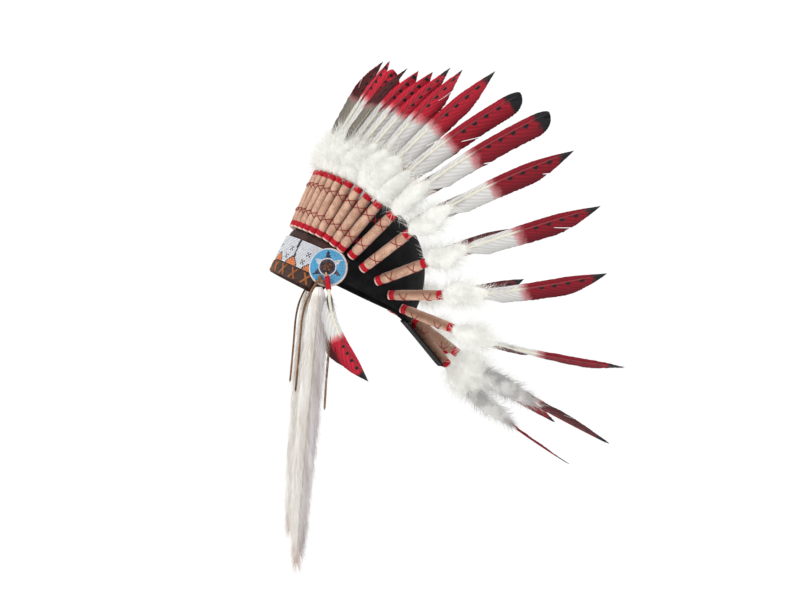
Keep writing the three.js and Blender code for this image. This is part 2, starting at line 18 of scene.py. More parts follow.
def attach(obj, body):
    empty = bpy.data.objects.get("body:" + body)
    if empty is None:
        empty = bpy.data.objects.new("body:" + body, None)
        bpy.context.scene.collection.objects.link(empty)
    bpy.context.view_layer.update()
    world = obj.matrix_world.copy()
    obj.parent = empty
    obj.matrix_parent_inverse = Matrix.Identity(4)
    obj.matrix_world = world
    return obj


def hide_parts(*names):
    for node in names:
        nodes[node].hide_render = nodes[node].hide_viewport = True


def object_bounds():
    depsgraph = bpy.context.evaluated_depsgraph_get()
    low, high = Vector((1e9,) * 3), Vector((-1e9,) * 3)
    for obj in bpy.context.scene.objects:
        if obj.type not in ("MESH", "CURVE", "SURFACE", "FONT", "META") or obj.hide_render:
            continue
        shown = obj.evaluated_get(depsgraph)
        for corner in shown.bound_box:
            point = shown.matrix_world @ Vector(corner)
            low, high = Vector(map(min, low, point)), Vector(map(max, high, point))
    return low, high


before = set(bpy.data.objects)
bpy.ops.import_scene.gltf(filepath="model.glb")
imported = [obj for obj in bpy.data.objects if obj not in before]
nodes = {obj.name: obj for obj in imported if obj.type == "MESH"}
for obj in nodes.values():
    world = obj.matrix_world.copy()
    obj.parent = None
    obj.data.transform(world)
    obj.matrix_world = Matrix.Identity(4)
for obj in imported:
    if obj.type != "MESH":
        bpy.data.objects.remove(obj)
cad_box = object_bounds()
mm = 0.001


def in_scene(name, data):
    """A new object, linked to the scene."""
    obj = bpy.data.objects.new(name, data)
    bpy.context.scene.collection.objects.link(obj)
    return obj


print(len(nodes), "solids in the frame")

# %% [markdown]
# ## The camera
#
# The photograph looks at the wearer's left side, a little from the front. A long lens would flatten
# the fan, and here the near feathers are clearly larger than the far ones, so a normal 50 mm lens
# stands 1.5 m away.

# %% Aim the camera
view_azimuth = math.radians(82)
view_distance = 1500 * mm
view_target = Vector((0, 80.1 * mm, 8.4 * mm))

camera_data = bpy.data.cameras.new("photo_camera")
camera_data.lens = 50
camera_data.sensor_width = 36
camera = in_scene("photo_camera", camera_data)
toward_camera = Vector((math.sin(view_azimuth), -math.cos(view_azimuth), 0))
camera.location = view_target + toward_camera * view_distance
camera.rotation_euler = toward_camera.to_track_quat("Z", "Y").to_euler()
bpy.context.scene.camera = camera
print("camera at", [round(x, 3) for x in camera.location])

# %% [markdown]
# ## Places on the head
#
# Everything is sewn to the cap, so places are given round the head: degrees from the brow, a level
# and a distance out from the head opening. The head frame is then tipped so that the brow is up.

# %% Head frame
head_length = 193 * mm
head_width = 156 * mm
felt_wall = 2 * mm
dome_height = 106 * mm
widest_level = 40 * mm
cap_edge_level = 26 * mm
nape_dip = 11 * mm
nape_dip_turn = 138
gap = 0.3 * mm
tilt = Matrix.Rotation(math.radians(-26), 3, "X")


def round_head(turn, level, out):
    rise = max(0.0, level - widest_level) / (dome_height + out)
    share = math.sqrt(max(0.0, 1 - rise * rise))
    angle = math.radians(turn)
    return Vector((
        (head_width / 2 + out) * share * math.sin(angle),
        -(head_length / 2 + out) * share * math.cos(angle),
        level,
    ))


def away_from_head(turn, level, out):
    p = round_head(turn, level, out)
    return Vector((
        p.x / (head_width / 2 + out) ** 2,
        p.y / (head_length / 2 + out) ** 2,
        max(0.0, level - widest_level) / (dome_height + out) ** 2,
    )).normalized()


def smooth(share):
    s = min(1.0, max(0.0, share))
    return s * s * (3 - 2 * s)


def mix(a, b, share):
    return a + (b - a) * share


# %% [markdown]
# ## Building meshes
#
# Most pieces are rows of points joined by quads. One helper turns rows into a mesh, tips it with the
# head where asked, mirrors it for the wearer's right side, and rides it on the part's one body.

# %% Mesh helpers
def add_piece(name, points, faces, materials, side=1, tipped=True, attributes=None):
    turned = [tilt @ Vector(p) if tipped else Vector(p) for p in points]
    if side < 0:
        turned = [Vector((-p.x, p.y, p.z)) for p in turned]
        faces = [tuple(reversed(f)) for f in faces]
    mesh = bpy.data.meshes.new(name)
    mesh.from_pydata([tuple(p) for p in turned], [], faces)
    for material in materials:
        mesh.materials.append(material)
    for label, values in (attributes or {}).items():
        layer = mesh.attributes.new(label, "FLOAT", "POINT")
        layer.data.foreach_set("value", np.asarray(values, np.float32))
    mesh.polygons.foreach_set("use_smooth", [True] * len(mesh.polygons))
    mesh.update()
    return in_scene(name, mesh)


def loft_faces(rows, around, cap_end=True):
    """Quads between rings of points that lie one after the other, and a face on each end."""
    faces = []
    for i in range(rows - 1):
        for j in range(around):
            k = (j + 1) % around
            a = i * around
            b = a + around
            faces.append((a + j, a + k, b + k, b + j))
    faces.append(tuple(reversed(range(around))))
    if cap_end:
        last = (rows - 1) * around
        faces.append(tuple(last + j for j in range(around)))
    return faces


def closed_skin(rings):
    """The points and faces of a closed skin over rings that lie one after the other."""
    return [p for ring in rings for p in ring], loft_faces(len(rings), len(rings[0]))


def circle(sides):
    """The cosine and sine of each step round a circle."""
    turns = [2 * math.pi * j / sides for j in range(sides)]
    return [(math.cos(turn), math.sin(turn)) for turn in turns]


def frame_along(points, hint):
    """A pair of directions across the line at each of its points, kept from twisting."""
    frames = []
    across = Vector(hint)
    for i in range(len(points)):
        ahead = points[min(i + 1, len(points) - 1)]
        behind = points[max(i - 1, 0)]
        along = (Vector(ahead) - Vector(behind)).normalized()
        across = (across - along * across.dot(along)).normalized()
        frames.append((across.copy(), along.cross(across)))
    return frames


def tube(points, radii, sides, hint=(1, 0, 0), flat=1.0):
    """Rings round a line: points and faces of a closed tube."""
    rings = []
    for p, radius, (u, v) in zip(points, radii, frame_along(points, hint)):
        rings.append([Vector(p) + u * (radius * c) + v * (radius * flat * s) for c, s in circle(sides)])
    return closed_skin(rings)


def join_parts(parts):
    """Several (points, faces) pairs as one."""
    points, faces = [], []
    for more_points, more_faces in parts:
        start = len(points)
        points.extend(more_points)
        faces.extend(tuple(start + i for i in face) for face in more_faces)
    return points, faces


def finish_piece(obj, slot, *replaced):
    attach(obj, "root")
    if replaced:
        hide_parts(*replaced)
    return obj


def smooth_line(points, steps):
    """Points evenly spaced on a Catmull-Rom curve through the given ones."""
    points = [Vector(p) for p in points]
    ends = [points[0] * 2 - points[1], *points, points[-1] * 2 - points[-2]]
    fine = []
    for i in range(1, len(ends) - 2):
        a, b, c, d = ends[i - 1:i + 3]
        for k in range(12):
            t = k / 12
            fine.append(0.5 * (2 * b + (c - a) * t + (2 * a - 5 * b + 4 * c - d) * t * t
                               + (3 * b - a - 3 * c + d) * t ** 3))
    fine.append(points[-1])
    lengths = [0.0]
    for p, q in zip(fine, fine[1:]):
        lengths.append(lengths[-1] + (q - p).length)
    even = []
    k = 0
    for i in range(steps + 1):
        goal = lengths[-1] * i / steps
        while k < len(lengths) - 2 and lengths[k + 1] < goal:
            k += 1
        share = (goal - lengths[k]) / max(1e-9, lengths[k + 1] - lengths[k])
        even.append(fine[k].lerp(fine[k + 1], min(1.0, share)))
    return even, lengths[-1]


sides = {"left": 1, "right": -1}

# %% [markdown]
# ## Finishes
#
# Each finish is a small node tree. A shared helper makes the shader and hands back a way to add nodes,
# so each material below reads as the list of what it is made of. The Geometry Nodes trees further on
# are made with the same helper.

# %% Tree and material helpers
class Nodes:
    """A node tree under construction: add() makes a node, put() links a socket or sets its value."""

    def __init__(self, tree):
        self.tree = tree

    def add(self, kind, settings=None, **inputs):
        """Inputs go by name, with _ for a space, or by number, as i0, i1 and so on."""
        node = self.tree.nodes.new(kind)
        for label, value in (settings or {}).items():
            setattr(node, label, value)
        for key, value in inputs.items():
            key = int(key[1:]) if key[0] == "i" and key[1:].isdigit() else key.replace("_", " ")
            self.put(value, node.inputs[key])
        return node

    def put(self, value, socket):
        if isinstance(value, bpy.types.NodeSocket):
            self.tree.links.new(value, socket)
        else:
            socket.default_value = value


class Finish(Nodes):
    """A material under construction: its methods add nodes and hand back their outputs."""

    def __init__(self, name, roughness=0.8, **sockets):
        self.material = bpy.data.materials.new(name)
        self.material.use_nodes = True
        super().__init__(self.material.node_tree)
        self.shader = self.tree.nodes["Principled BSDF"]
        self.shader.inputs["Roughness"].default_value = roughness
        for label, value in sockets.items():
            self.shader.inputs[label.replace("_", " ")].default_value = value

    def math(self, operation, a, b=0.0, c=0.0):
        return self.add("ShaderNodeMath", {"operation": operation}, i0=a, i1=b, i2=c).outputs[0]

    def band(self, value, low, high):
        """0 below low and 1 above high, smooth between. Works downwards where low is above high."""
        settings = {"interpolation_type": "SMOOTHSTEP"}
        return self.add("ShaderNodeMapRange", settings, Value=value, From_Min=low, From_Max=high).outputs[0]

    def blend(self, share, a, b):
        return self.add("ShaderNodeMix", {"data_type": "RGBA"}, i0=share, i6=a, i7=b).outputs[2]

    def noise(self, scale, detail=3.0, stretch=None):
        place = self.add("ShaderNodeTexCoord").outputs["Object"]
        if stretch:
            place = self.add("ShaderNodeMapping", Vector=place, Scale=stretch).outputs[0]
        return self.add("ShaderNodeTexNoise", Vector=place, Scale=scale, Detail=detail).outputs[0]

    def attribute(self, name, output="Fac"):
        return self.add("ShaderNodeAttribute", {"attribute_name": name}).outputs[output]

    def colour(self, value):
        self.put(value, self.shader.inputs["Base Color"])

    def bump(self, height, strength, distance):
        node = self.add("ShaderNodeBump", Height=height, Strength=strength, Distance=distance)
        self.put(node.outputs[0], self.shader.inputs["Normal"])


# %% [markdown]
# Felt is a mat of short fibres: two sizes of noise in colour and bump, fully rough, with a faint sheen.
# Suede is much the same with a coarser nap. Hide for the wraps is smoother and blotchy.

# %% Felt, suede and hide
def nap_finish(name, dark, light, scale, bump, sheen):
    made = Finish(name, roughness=0.95, Sheen_Weight=sheen, Sheen_Roughness=0.6, Specular_IOR_Level=0.12)
    fine = made.noise(scale, 4.0)
    broad = made.noise(scale / 14, 2.0)
    both = made.math("MULTIPLY_ADD", broad, 0.55, made.math("MULTIPLY", fine, 0.45))
    made.colour(made.blend(made.band(both, 0.35, 0.65), dark, light))
    made.bump(fine, bump, 0.6 * mm)
    return made.material


black_felt = nap_finish("black_felt", (0.003, 0.003, 0.004, 1), (0.011, 0.011, 0.012, 1), 900, 0.5, 0.02)
brown_suede = nap_finish("brown_suede", (0.026, 0.012, 0.01, 1), (0.07, 0.034, 0.028, 1), 700, 0.5, 0.08)
pale_hide = nap_finish("pale_hide", (0.62, 0.4, 0.33, 1), (0.78, 0.6, 0.52, 1), 420, 0.35, 0.1)
brown_thong = nap_finish("brown_thong", (0.11, 0.05, 0.022, 1), (0.3, 0.16, 0.085, 1), 380, 0.5, 0.1)
print("nap finishes made")

# %% [markdown]
# ## Thongs: the only free cords
#
# A leather thong is knotted on the rosette and its two tails hang free. Each tail is one cord with its
# own route, straight down under its own weight. The knot is a tube that loops through itself.

# %% Rosette places
band_wall = 2 * mm
panel_wall = 2 * mm
rosette_diameter = 51 * mm
rosette_wall = 3 * mm
rosette_turn = 68
rosette_level = 34 * mm
band_inner = felt_wall + gap
trim_inner = band_inner + band_wall + gap
rosette_inner = trim_inner + panel_wall + gap
rosette_outer = rosette_inner + rosette_wall

knot_width = 12 * mm
knot_height = 13 * mm
knot_depth = 7 * mm
knot_level = rosette_level - rosette_diameter * 0.38
knot_place = tilt @ round_head(rosette_turn, knot_level, rosette_outer + gap + knot_depth / 2)
knot_facing = tilt @ away_from_head(rosette_turn, knot_level, rosette_outer)
print("knot at", [round(x / mm, 1) for x in knot_place], "mm")

# %% Thong tails and knot
thong_diameter = 4 * mm
knot_strand = 2.1 * mm
front_tail = [
    (0.3, -3, -2), (0.9, -7.4, -8.4), (0, -11, -14), (-2, -14, -20), (-3.5, -17, -27),
    (-4, -19.5, -35), (-4, -21.5, -44), (-4, -23, -54), (-4, -24, -65), (-4, -25, -77),
    (-4, -26, -90), (-4, -27.2, -103), (-4, -28.4, -116), (-4, -29.6, -129), (-4, -31, -142),
]
rear_tail = [
    (0.3, 3, -2), (0.9, 7.4, -8.4), (0, 10.5, -14), (-2, 12.5, -20), (-3.5, 13.8, -28),
    (-4, 14.4, -37), (-4, 14.4, -47), (-4, 14, -58), (-4, 13.2, -70), (-4, 12.2, -83),
    (-4, 11, -97), (-4, 9.8, -111), (-4, 8.6, -125), (-4, 7.6, -139), (-4, 6.8, -153),
    (-4, 6, -166),
]


def thong_tail(name, route, side):
    line, length = smooth_line([knot_place + Vector(p) * mm for p in route], 48)
    radii = []
    for i in range(len(line)):
        share = i / (len(line) - 1)
        end = math.sqrt(max(0.0, 1 - (max(0.0, share - 0.985) / 0.0152) ** 2))
        radii.append(thong_diameter / 2 * (1 + 0.05 * math.sin(share * 31)) * max(0.15, end))
    points, faces = tube(line, radii, 10, flat=0.72)
    tail = add_piece(name, points, faces, [brown_thong], side, tipped=False)
    path = [(p.x * side, p.y, p.z) for p in line]
    return tail, path, length


def knot_line():
    """Two and a half turns round a fat knot, wound over and under."""
    facing = knot_facing
    down = Vector((0, 0, -1))
    down = (down - facing * down.dot(facing)).normalized()
    back = down.cross(facing).normalized()
    line = []
    for i in range(97):
        a = 2 * math.pi * i / 96
        wide = (knot_width / 2 - knot_strand) * (math.sin(a) + 0.75 * math.sin(2 * a)) / 1.45
        tall = (knot_height / 2 - knot_strand) * (math.cos(a) - 0.75 * math.cos(2 * a)) / 1.6
        deep = -math.sin(3 * a) * (knot_depth / 2 - knot_strand)
        line.append(knot_place + back * wide + down * tall + facing * deep)
    return line


for label, side in sides.items():
    points, faces = tube(knot_line(), [knot_strand] * 97, 10, hint=knot_facing)
    knot = finish_piece(
        add_piece(f"thong_knot_{label}", points, faces, [brown_thong], side, tipped=False),
        "brown_thong", f"thongs_{label}",
    )
    for end, route in (("front", front_tail), ("rear", rear_tail)):
        tail, path, length = thong_tail(f"thong_{end}_{label}", route, side)
        finish_piece(tail, "brown_thong", f"thongs_{label}")
        print(f"thong_{end}_{label}", round(length / mm), "mm")

# %% [markdown]
# ## Stations of the feathers
#
# The row of feathers follows one table, brow to nape: where each wrap's foot is, which way it points,
# how much the quill bends, how long it is and how far its vane is turned like a slat. In the second
# table, dye is how long the dyed part is, as a share of the usual one, and worn is how many
# millimetres of its black tip are missing.

# %% Stations
band_height = 64 * mm
wrap_length = 82 * mm
wrap_diameter = 13.4 * mm
bound_diameter = 12.3 * mm
feather_length = 225 * mm
vane_width = 27 * mm
plume_length = 80 * mm
plume_width = 36 * mm
plume_depth = 30 * mm
head_steps = 36
dome_rises = (24, 46, 68)

columns = ("turn", "foot", "lean", "flare", "droop", "splay", "wrap", "long", "louvre", "row", "out")
station_rows = [
    (4, 1.01, 92, 2, 6, 10, 1, 0.745, 34, 0.38, 1),
    (11.8, 1.01, 91.5, 5, 7, 15, 1, 0.765, 36, 0.38, 1),
    (19.4, 1.01, 91, 8, 9, 19, 1, 0.785, 37, 0.38, 1),
    (26.6, 1.01, 90.5, 10, 11, 22, 1, 0.82, 40, 0.37, 1),
    (33.6, 1.01, 89.5, 12, 12, 24, 1, 0.855, 40, 0.37, 1),
    (40.8, 1.01, 88.5, 14, 13, 24, 1, 0.89, 38, 0.37, 1),
    (48.2, 1.01, 87, 16, 12, 21, 1, 0.905, 27, 0.38, 1),
    (55.7, 1, 84.5, 18, 9, 15, 1, 0.915, 17, 0.4, 1),
    (62.7, 0.965, 81, 20.5, 10, 6.5, 1, 0.98, 15, 0.43, 1),
    (69.5, 0.935, 77.5, 22.5, 13.5, 0.5, 1, 0.98, 18, 0.43, 1),
    (79, 0.91, 72.4, 27, 13, -3, 1, 1.015, 12, 0.66, 0.95),
    (90.5, 0.785, 65, 30, 12, -5, 1, 1.005, 11, 0.85, 0.9),
    (104, 0.7, 47.5, 30, 3, -5, 0.9, 1.005, 12, 1, 0.9),
    (118, 0.575, 26, 30, -8, -5, 0.9, 0.92, 18, 1, 0.9),
    (136, 0.465, 3, 30, -10, -6, 0.94, 0.98, 34, 0.95, 0.9),
    (174.2, 0.405, -13, 22, -7, 0, 0.94, 1.02, 52, 0.85, 0.9),
]
stations = [dict(zip(columns, row)) for row in station_rows]
nape = dict(zip(columns, (180, 0.35, -24, 0, -11, 0, 0.94, 0.98, 0, 0.9, 0.85)))

# The feathers over the brow don't lie as evenly as the row: some show their backs and some are short.
restless_columns = ("louvre", "long", "dye", "worn")
restless_rows = [
    (-46, 0.745, 0.62, 8), (30, 0.755, 0.62, 14), (52, 0.725, 0.6, 16), (-62, 0.78, 0.66, 6),
    (50, 0.81, 0.74, 15), (40, 0.85, 0.8, 13), (34, 0.905, 0.9, 3), (17, 0.9, 0.9, 10), (15, 0.98, 1, 2),
]
for station in [*stations, nape]:
    station["dye"] = 1
    station["worn"] = 0
for station, row in zip(stations, restless_rows):
    station.update(zip(restless_columns, row))
row_stations = 10
paired_wraps = 15
print(2 * len(stations) + 1, "feathers")

# %% Where a wrap starts and how a quill runs
def direction(lean, flare):
    l, f = math.radians(lean), math.radians(flare)
    return Vector((math.sin(f), math.cos(f) * math.cos(l), math.cos(f) * math.sin(l)))


def dome_level(rise):
    return widest_level + (dome_height + felt_wall) * math.sin(math.radians(rise))


def on_cap(turn, level):
    levels = [0, widest_level, *(dome_level(rise) for rise in dome_rises)]
    above = next(i for i, step in enumerate(levels) if step >= level)
    low, high = levels[above - 1], levels[above]
    width = 360 / head_steps
    start = math.floor(turn / width) * width
    around, up = (turn - start) / width, (level - low) / (high - low)

    def at(step):
        return round_head(start, step, felt_wall).lerp(round_head(start + width, step, felt_wall), around)

    return at(low).lerp(at(high), up)


def wrap_place(station):
    level = station["foot"] * band_height
    along = direction(station["lean"], station["flare"])
    away = away_from_head(station["turn"], level, felt_wall)
    slope = along.dot(away)
    clear = bound_diameter / 2 * math.sqrt(1 - slope * slope) + gap
    start = on_cap(station["turn"], level) + away * clear
    after, before = (round_head(station["turn"] + step, level, felt_wall) for step in (1, -1))
    across = after - before
    across = (across - along * across.dot(along)).normalized()
    return start, along, across


class Quill:
    """A quadratic curve from the wrap's end to the feather's tip."""

    def __init__(self, station):
        start, along, _ = wrap_place(station)
        self.length = feather_length * station["long"]
        chord = direction(station["lean"] - station["droop"], station["flare"] + station["splay"])
        self.root = start + along * (wrap_length * station["wrap"] + gap)
        self.knee = self.root + along * (self.length * 0.4)
        self.tip = self.root + chord * self.length

    def at(self, t):
        return self.root * (1 - t) ** 2 + self.knee * (2 * t * (1 - t)) + self.tip * t * t

    def along(self, t):
        return ((self.knee - self.root) * (1 - t) + (self.tip - self.knee) * t).normalized()

    def mirrored(self):
        twin = Quill.__new__(Quill)
        twin.length = self.length
        for end in ("root", "knee", "tip"):
            p = getattr(self, end)
            setattr(twin, end, Vector((-p.x, p.y, p.z)))
        return twin


quills = [Quill(station) for station in [*stations, nape]]


def vane_facing(index, t):
    """Which way the flat of a vane looks: out of the fan, turned by its louvre."""
    quill = quills[index]
    before = quills[index - 1] if index else quills[0].mirrored()
    after = quills[index + 1] if index + 1 < len(quills) else quills[paired_wraps].mirrored()
    station = [*stations, nape][index]
    along = quill.along(t)
    out = (after.at(t) - before.at(t)).cross(along).normalized()
    out = Matrix.Rotation(math.radians(station["louvre"]), 3, along) @ out
    return (out - along * out.dot(along)).normalized()


# %% [markdown]
# ## Dyed feathers
#
# A feather is white, then pink to red, with a black tip and a row of painted dots along the shaft.
# The dye follows the feather, not the world, so each vane carries how far every point is from the tip
# and from the shaft, and the material reads those.

# %% Vane finish
black_tip = 16 * mm
first_dot = 19 * mm
dot_step = 15 * mm
dot_count = 4
dot_from_shaft = 2.2 * mm
dot_radius = 2.9 * mm
pink_from = 97 * mm
red_from = 90 * mm


def vane_finish(name, whites, reds, black, gloss):
    made = Finish(name, roughness=gloss, Specular_IOR_Level=0.25)
    from_tip = made.attribute("from_tip")
    across = made.attribute("across")
    barb = made.attribute("barb")
    shade = made.attribute("shade")
    cloud = made.math("SUBTRACT", made.noise(55, 2.0), 0.5)
    ragged = made.math("SUBTRACT", made.noise(420, 2.0), 0.5)
    drift = made.math("MULTIPLY_ADD", cloud, 14 * mm, made.math("MULTIPLY", ragged, 6 * mm))
    edge = made.math("ADD", from_tip, drift)
    wave = made.math("SINE", made.math("MULTIPLY", barb, 2 * math.pi / (1.3 * mm)))
    slow = made.math("SINE", made.math("MULTIPLY", barb, 2 * math.pi / (9.7 * mm)))
    streak = made.math("MULTIPLY_ADD", wave, 0.22, made.math("MULTIPLY_ADD", slow, 0.18, 0.5))
    # Painted shade: the vane darkens away from the shaft on its wide trailing side.
    painted_trailing_shade = made.band(across, 4 * mm, 20 * mm)
    lit = made.math("MULTIPLY", streak, made.math("MULTIPLY_ADD", painted_trailing_shade, -0.75, 1.0))
    white = made.blend(lit, *whites)
    bright = made.blend(lit, *reds[0])
    deep = made.blend(lit, *reds[1])
    # Painted shade: the shade attribute blends each feather's red towards a darker copy, more for feathers
    # towards the nape.
    red = made.blend(shade, bright, deep)
    pink = made.blend(0.5, red, (0.9, 0.45, 0.45, 1))
    colour = made.blend(made.band(edge, pink_from + 5 * mm, pink_from - 5 * mm), white, pink)
    colour = made.blend(made.band(edge, red_from + 6 * mm, red_from - 6 * mm), colour, red)
    spot = made.math("DIVIDE", made.math("SUBTRACT", from_tip, first_dot), dot_step)
    rows = made.math("MULTIPLY_ADD", made.math("FRACT", spot), dot_step, -dot_step / 2)
    beside = made.math("SUBTRACT", across, dot_from_shaft)
    squares = made.math("ADD", made.math("MULTIPLY", rows, rows), made.math("MULTIPLY", beside, beside))
    reach = made.math("SQRT", squares)
    reach = made.math("MULTIPLY_ADD", ragged, 2.2 * mm, reach)
    dot = made.band(reach, dot_radius + 0.5 * mm, dot_radius - 0.6 * mm)
    last_dot = first_dot + dot_count * dot_step
    after = made.math("GREATER_THAN", from_tip, first_dot)
    before = made.math("LESS_THAN", from_tip, last_dot)
    inside = made.math("MULTIPLY", after, before)
    colour = made.blend(made.math("MULTIPLY", dot, inside), colour, black)
    colour = made.blend(made.band(edge, black_tip + 3 * mm, black_tip - 3 * mm), colour, black)
    made.colour(colour)
    made.bump(made.math("MULTIPLY_ADD", wave, 0.5, 0.5), 0.35, 0.25 * mm)
    return made.material


soft_black = (0.012, 0.012, 0.014, 1)
vane_front = vane_finish(
    "vane_front", [(0.5, 0.49, 0.47, 1), (0.93, 0.92, 0.9, 1)],
    [[(0.24, 0.004, 0.014, 1), (0.84, 0.025, 0.06, 1)], [(0.09, 0.002, 0.007, 1), (0.36, 0.008, 0.022, 1)]],
    soft_black, 0.7,
)
# The back faces take a darker copy of the vane finish: partly the duller underside, partly painted shade.
vane_back = vane_finish(
    "vane_back", [(0.22, 0.19, 0.16, 1), (0.5, 0.45, 0.38, 1)],
    [[(0.06, 0.01, 0.012, 1), (0.17, 0.034, 0.036, 1)], [(0.05, 0.008, 0.01, 1), (0.13, 0.025, 0.028, 1)]],
    soft_black, 0.8,
)


def shaft_finish():
    made = Finish("feather_shaft", roughness=0.4)
    from_tip = made.attribute("from_tip")
    cream = made.blend(made.noise(300), (0.7, 0.66, 0.5, 1), (0.86, 0.84, 0.74, 1))
    colour = made.blend(made.band(from_tip, 100 * mm, 84 * mm), cream, (0.24, 0.012, 0.02, 1))
    made.colour(made.blend(made.band(from_tip, 20 * mm, 14 * mm), colour, soft_black))
    return made.material


feather_shaft = shaft_finish()
print("feather finishes made")

# %% [markdown]
# ## The vane
#
# Barbs leave the shaft at an angle, bend towards the tip and hook together into a sheet. Each row of
# the mesh is one barb, so the sheet can part between two rows as a real vane does where it has split.
# The leading side is narrow and the trailing side wide. Solidify gives the sheet its two faces, the
# back one with a darker, duller copy of the finish: partly the duller underside, partly painted shade.

# %% Vane shape
barb_rows = 84
barb_columns = {1: 7, -1: 3}
lean_wide = 1.9
lean_narrow = 2.6
split_counts = (0, 1, 1, 2)
vane_wall = 0.5 * mm


class Outline:
    """How wide a vane is along its length. blunt ones end in a round and the others in a long point."""

    def __init__(self, start=0.22, blunt=False, taper=0.23):
        self.start = start
        self.blunt = blunt
        self.taper = 0.1 if blunt else taper

    def width(self, share, full):
        grow = smooth((share - self.start) / 0.14) * (0.9 + 0.1 * smooth((share - 0.4) / 0.3))
        end = min(1.0, max(0.0, (share - 1 + self.taper) / self.taper))
        tip = math.sqrt(max(0.0, 1 - end ** 2.4)) if self.blunt else 1 - end ** 1.55
        return full * grow * tip

    def barb_end(self, root, full, lean, length):
        """Where a barb ends along the feather, from where it leaves the shaft."""
        end = root
        for _ in range(24):
            end = mix(end, min(1.0, root + self.width(end, full) * lean / length), 0.6)
        return end


def vane_points(quill, facing, width, seed, outline, dye=1.0):
    rng = random.Random(seed)
    length = quill.length
    plan = [(1, 0.76 * width, lean_wide), (-1, 0.24 * width, lean_narrow)]
    splits = {}
    for _ in range(rng.choice(split_counts)):
        row = rng.randrange(int(barb_rows * 0.2), int(barb_rows * 0.7))
        splits[row] = (rng.uniform(0.5, 0.75), rng.uniform(0.3, 0.9) * mm)
    lift = [0.0]
    for _ in range(barb_rows):
        lift.append(0.82 * lift[-1] + rng.uniform(-0.3, 0.3) * mm)
    points, attributes, index = [], {"from_tip": [], "across": [], "barb": []}, {}

    def put(share, sideways, up, root):
        share_on = min(1.0, share)
        along = quill.along(share_on)
        out = facing(share_on)
        side = along.cross(out)
        points.append(quill.at(share_on) + side * sideways + out * up)
        attributes["from_tip"].append((1 - share_on) * length / dye)
        attributes["across"].append(sideways)
        attributes["barb"].append(root * length)
        return len(points) - 1

    for i in range(barb_rows + 1):
        root = mix(outline.start, 0.998, i / barb_rows)
        index[i, 0] = put(root, 0, 0, root)
        for sign, full, lean in plan:
            end = outline.barb_end(root, full, lean, length)
            reach = outline.width(end, full) * (1 + rng.uniform(-0.04, 0.015))
            for j in range(1, barb_columns[sign] + 1):
                t = j / barb_columns[sign]
                share = root + (end - root) * t ** 1.3
                pull = 0.0
                for row, (start, wide) in (splits.items() if sign > 0 else ()):
                    past = max(0.0, (t - start) / (1 - start))
                    near = math.exp(-((i - row - 0.5) / 6) ** 2)
                    pull += past * near * wide / length * (-1 if i <= row else 1)
                up = -0.12 * reach * t * t + lift[i] * t
                index[i, sign * j] = put(share + pull, sign * reach * t, up, root)
    faces = []
    for i in range(barb_rows):
        for sign, _, _ in plan:
            for j in range(barb_columns[sign]):
                if sign > 0 and i in splits and j / barb_columns[sign] >= splits[i][0]:
                    continue
                a, b = index[i, sign * j], index[i, sign * (j + 1)]
                c, d = index[i + 1, sign * (j + 1)], index[i + 1, sign * j]
                faces.append((a, d, c, b) if sign < 0 else (a, b, c, d))
    return points, faces, attributes


def solid_sheet(obj, wall):
    """The sheet with its thickness applied, as a plain mesh."""
    thick = obj.modifiers.new("thickness", "SOLIDIFY")
    thick.thickness = wall
    thick.offset = 0
    thick.material_offset = 1
    return applied(obj)


def applied(obj):
    bpy.context.view_layer.update()
    graph = bpy.context.evaluated_depsgraph_get()
    mesh = bpy.data.meshes.new_from_object(obj.evaluated_get(graph))
    obj.modifiers.clear()
    old = obj.data
    obj.data = mesh
    bpy.data.meshes.remove(old)
    return obj


def shaft_points(quill, facing, thick, dye=1.0, steps=24):
    line, radii, from_tip = [], [], []
    for i in range(steps + 1):
        share = 0.985 * i / steps
        radius = thick / 2 * mix(1, 0.25, share)
        line.append(quill.at(share) + facing(share) * radius * 0.5)
        radii.append(radius)
        from_tip.extend([(1 - share) * quill.length / dye] * 8)
    points, faces = tube(line, radii, 8, hint=facing(0))
    return points, faces, from_tip


# %% Make the feathers' vanes
def make_feather(name, quill, facing, shade, side, seed, node, finishes, outline, width=vane_width,
                 thick=4.8 * mm, tipped=True, dye=1.0, worn=0.0):
    points, faces, attributes = vane_points(quill, facing, width, seed, outline, dye)
    attributes["from_tip"] = [distance + worn for distance in attributes["from_tip"]]
    attributes["shade"] = [shade] * len(points)
    vane = add_piece(f"vane_{name}", points, faces, finishes, side, tipped, attributes)
    finish_piece(solid_sheet(vane, vane_wall), "feather", node)
    points, faces, from_tip = shaft_points(quill, facing, thick, dye)
    shaft = add_piece(
        f"shaft_{name}", points, faces, [feather_shaft], side, tipped, {"from_tip": from_tip},
    )
    finish_piece(shaft, "feather", node)


def feather_number(index, label):
    return f"{index + 1:02d}_{label}" if index < len(stations) else "nape"


def each_feather():
    """Every feather as its place in the row, its station, its number and its side."""
    for index, station in enumerate([*stations, nape]):
        for label, side in sides.items():
            if index < len(stations) or side > 0:
                yield index, station, feather_number(index, label), side


blunt_feathers = (2, 9, 10)
# The fifth argument of make_feather is painted shade: from the seventh feather on towards the nape the red
# darkens.
for index, station, number, side in each_feather():
    make_feather(
        number, quills[index], lambda t, i=index: vane_facing(i, t), smooth((index - 6) / 5), side,
        seed=100 + 2 * index + (side < 0), node=f"feather_{number}", finishes=[vane_front, vane_back],
        outline=Outline(blunt=index in blunt_feathers), dye=station["dye"], worn=station["worn"] * mm,
    )
print("vanes made")

# %% [markdown]
# ## Strands on a surface
#
# Down and fur are thousands of fine tapering strands. Geometry Nodes scatters one small curved strand
# over a core surface. Each copy turns to the surface's own flow, which is stored on it as a vector, with
# some randomness, so the same tree makes loose down and combed fur.

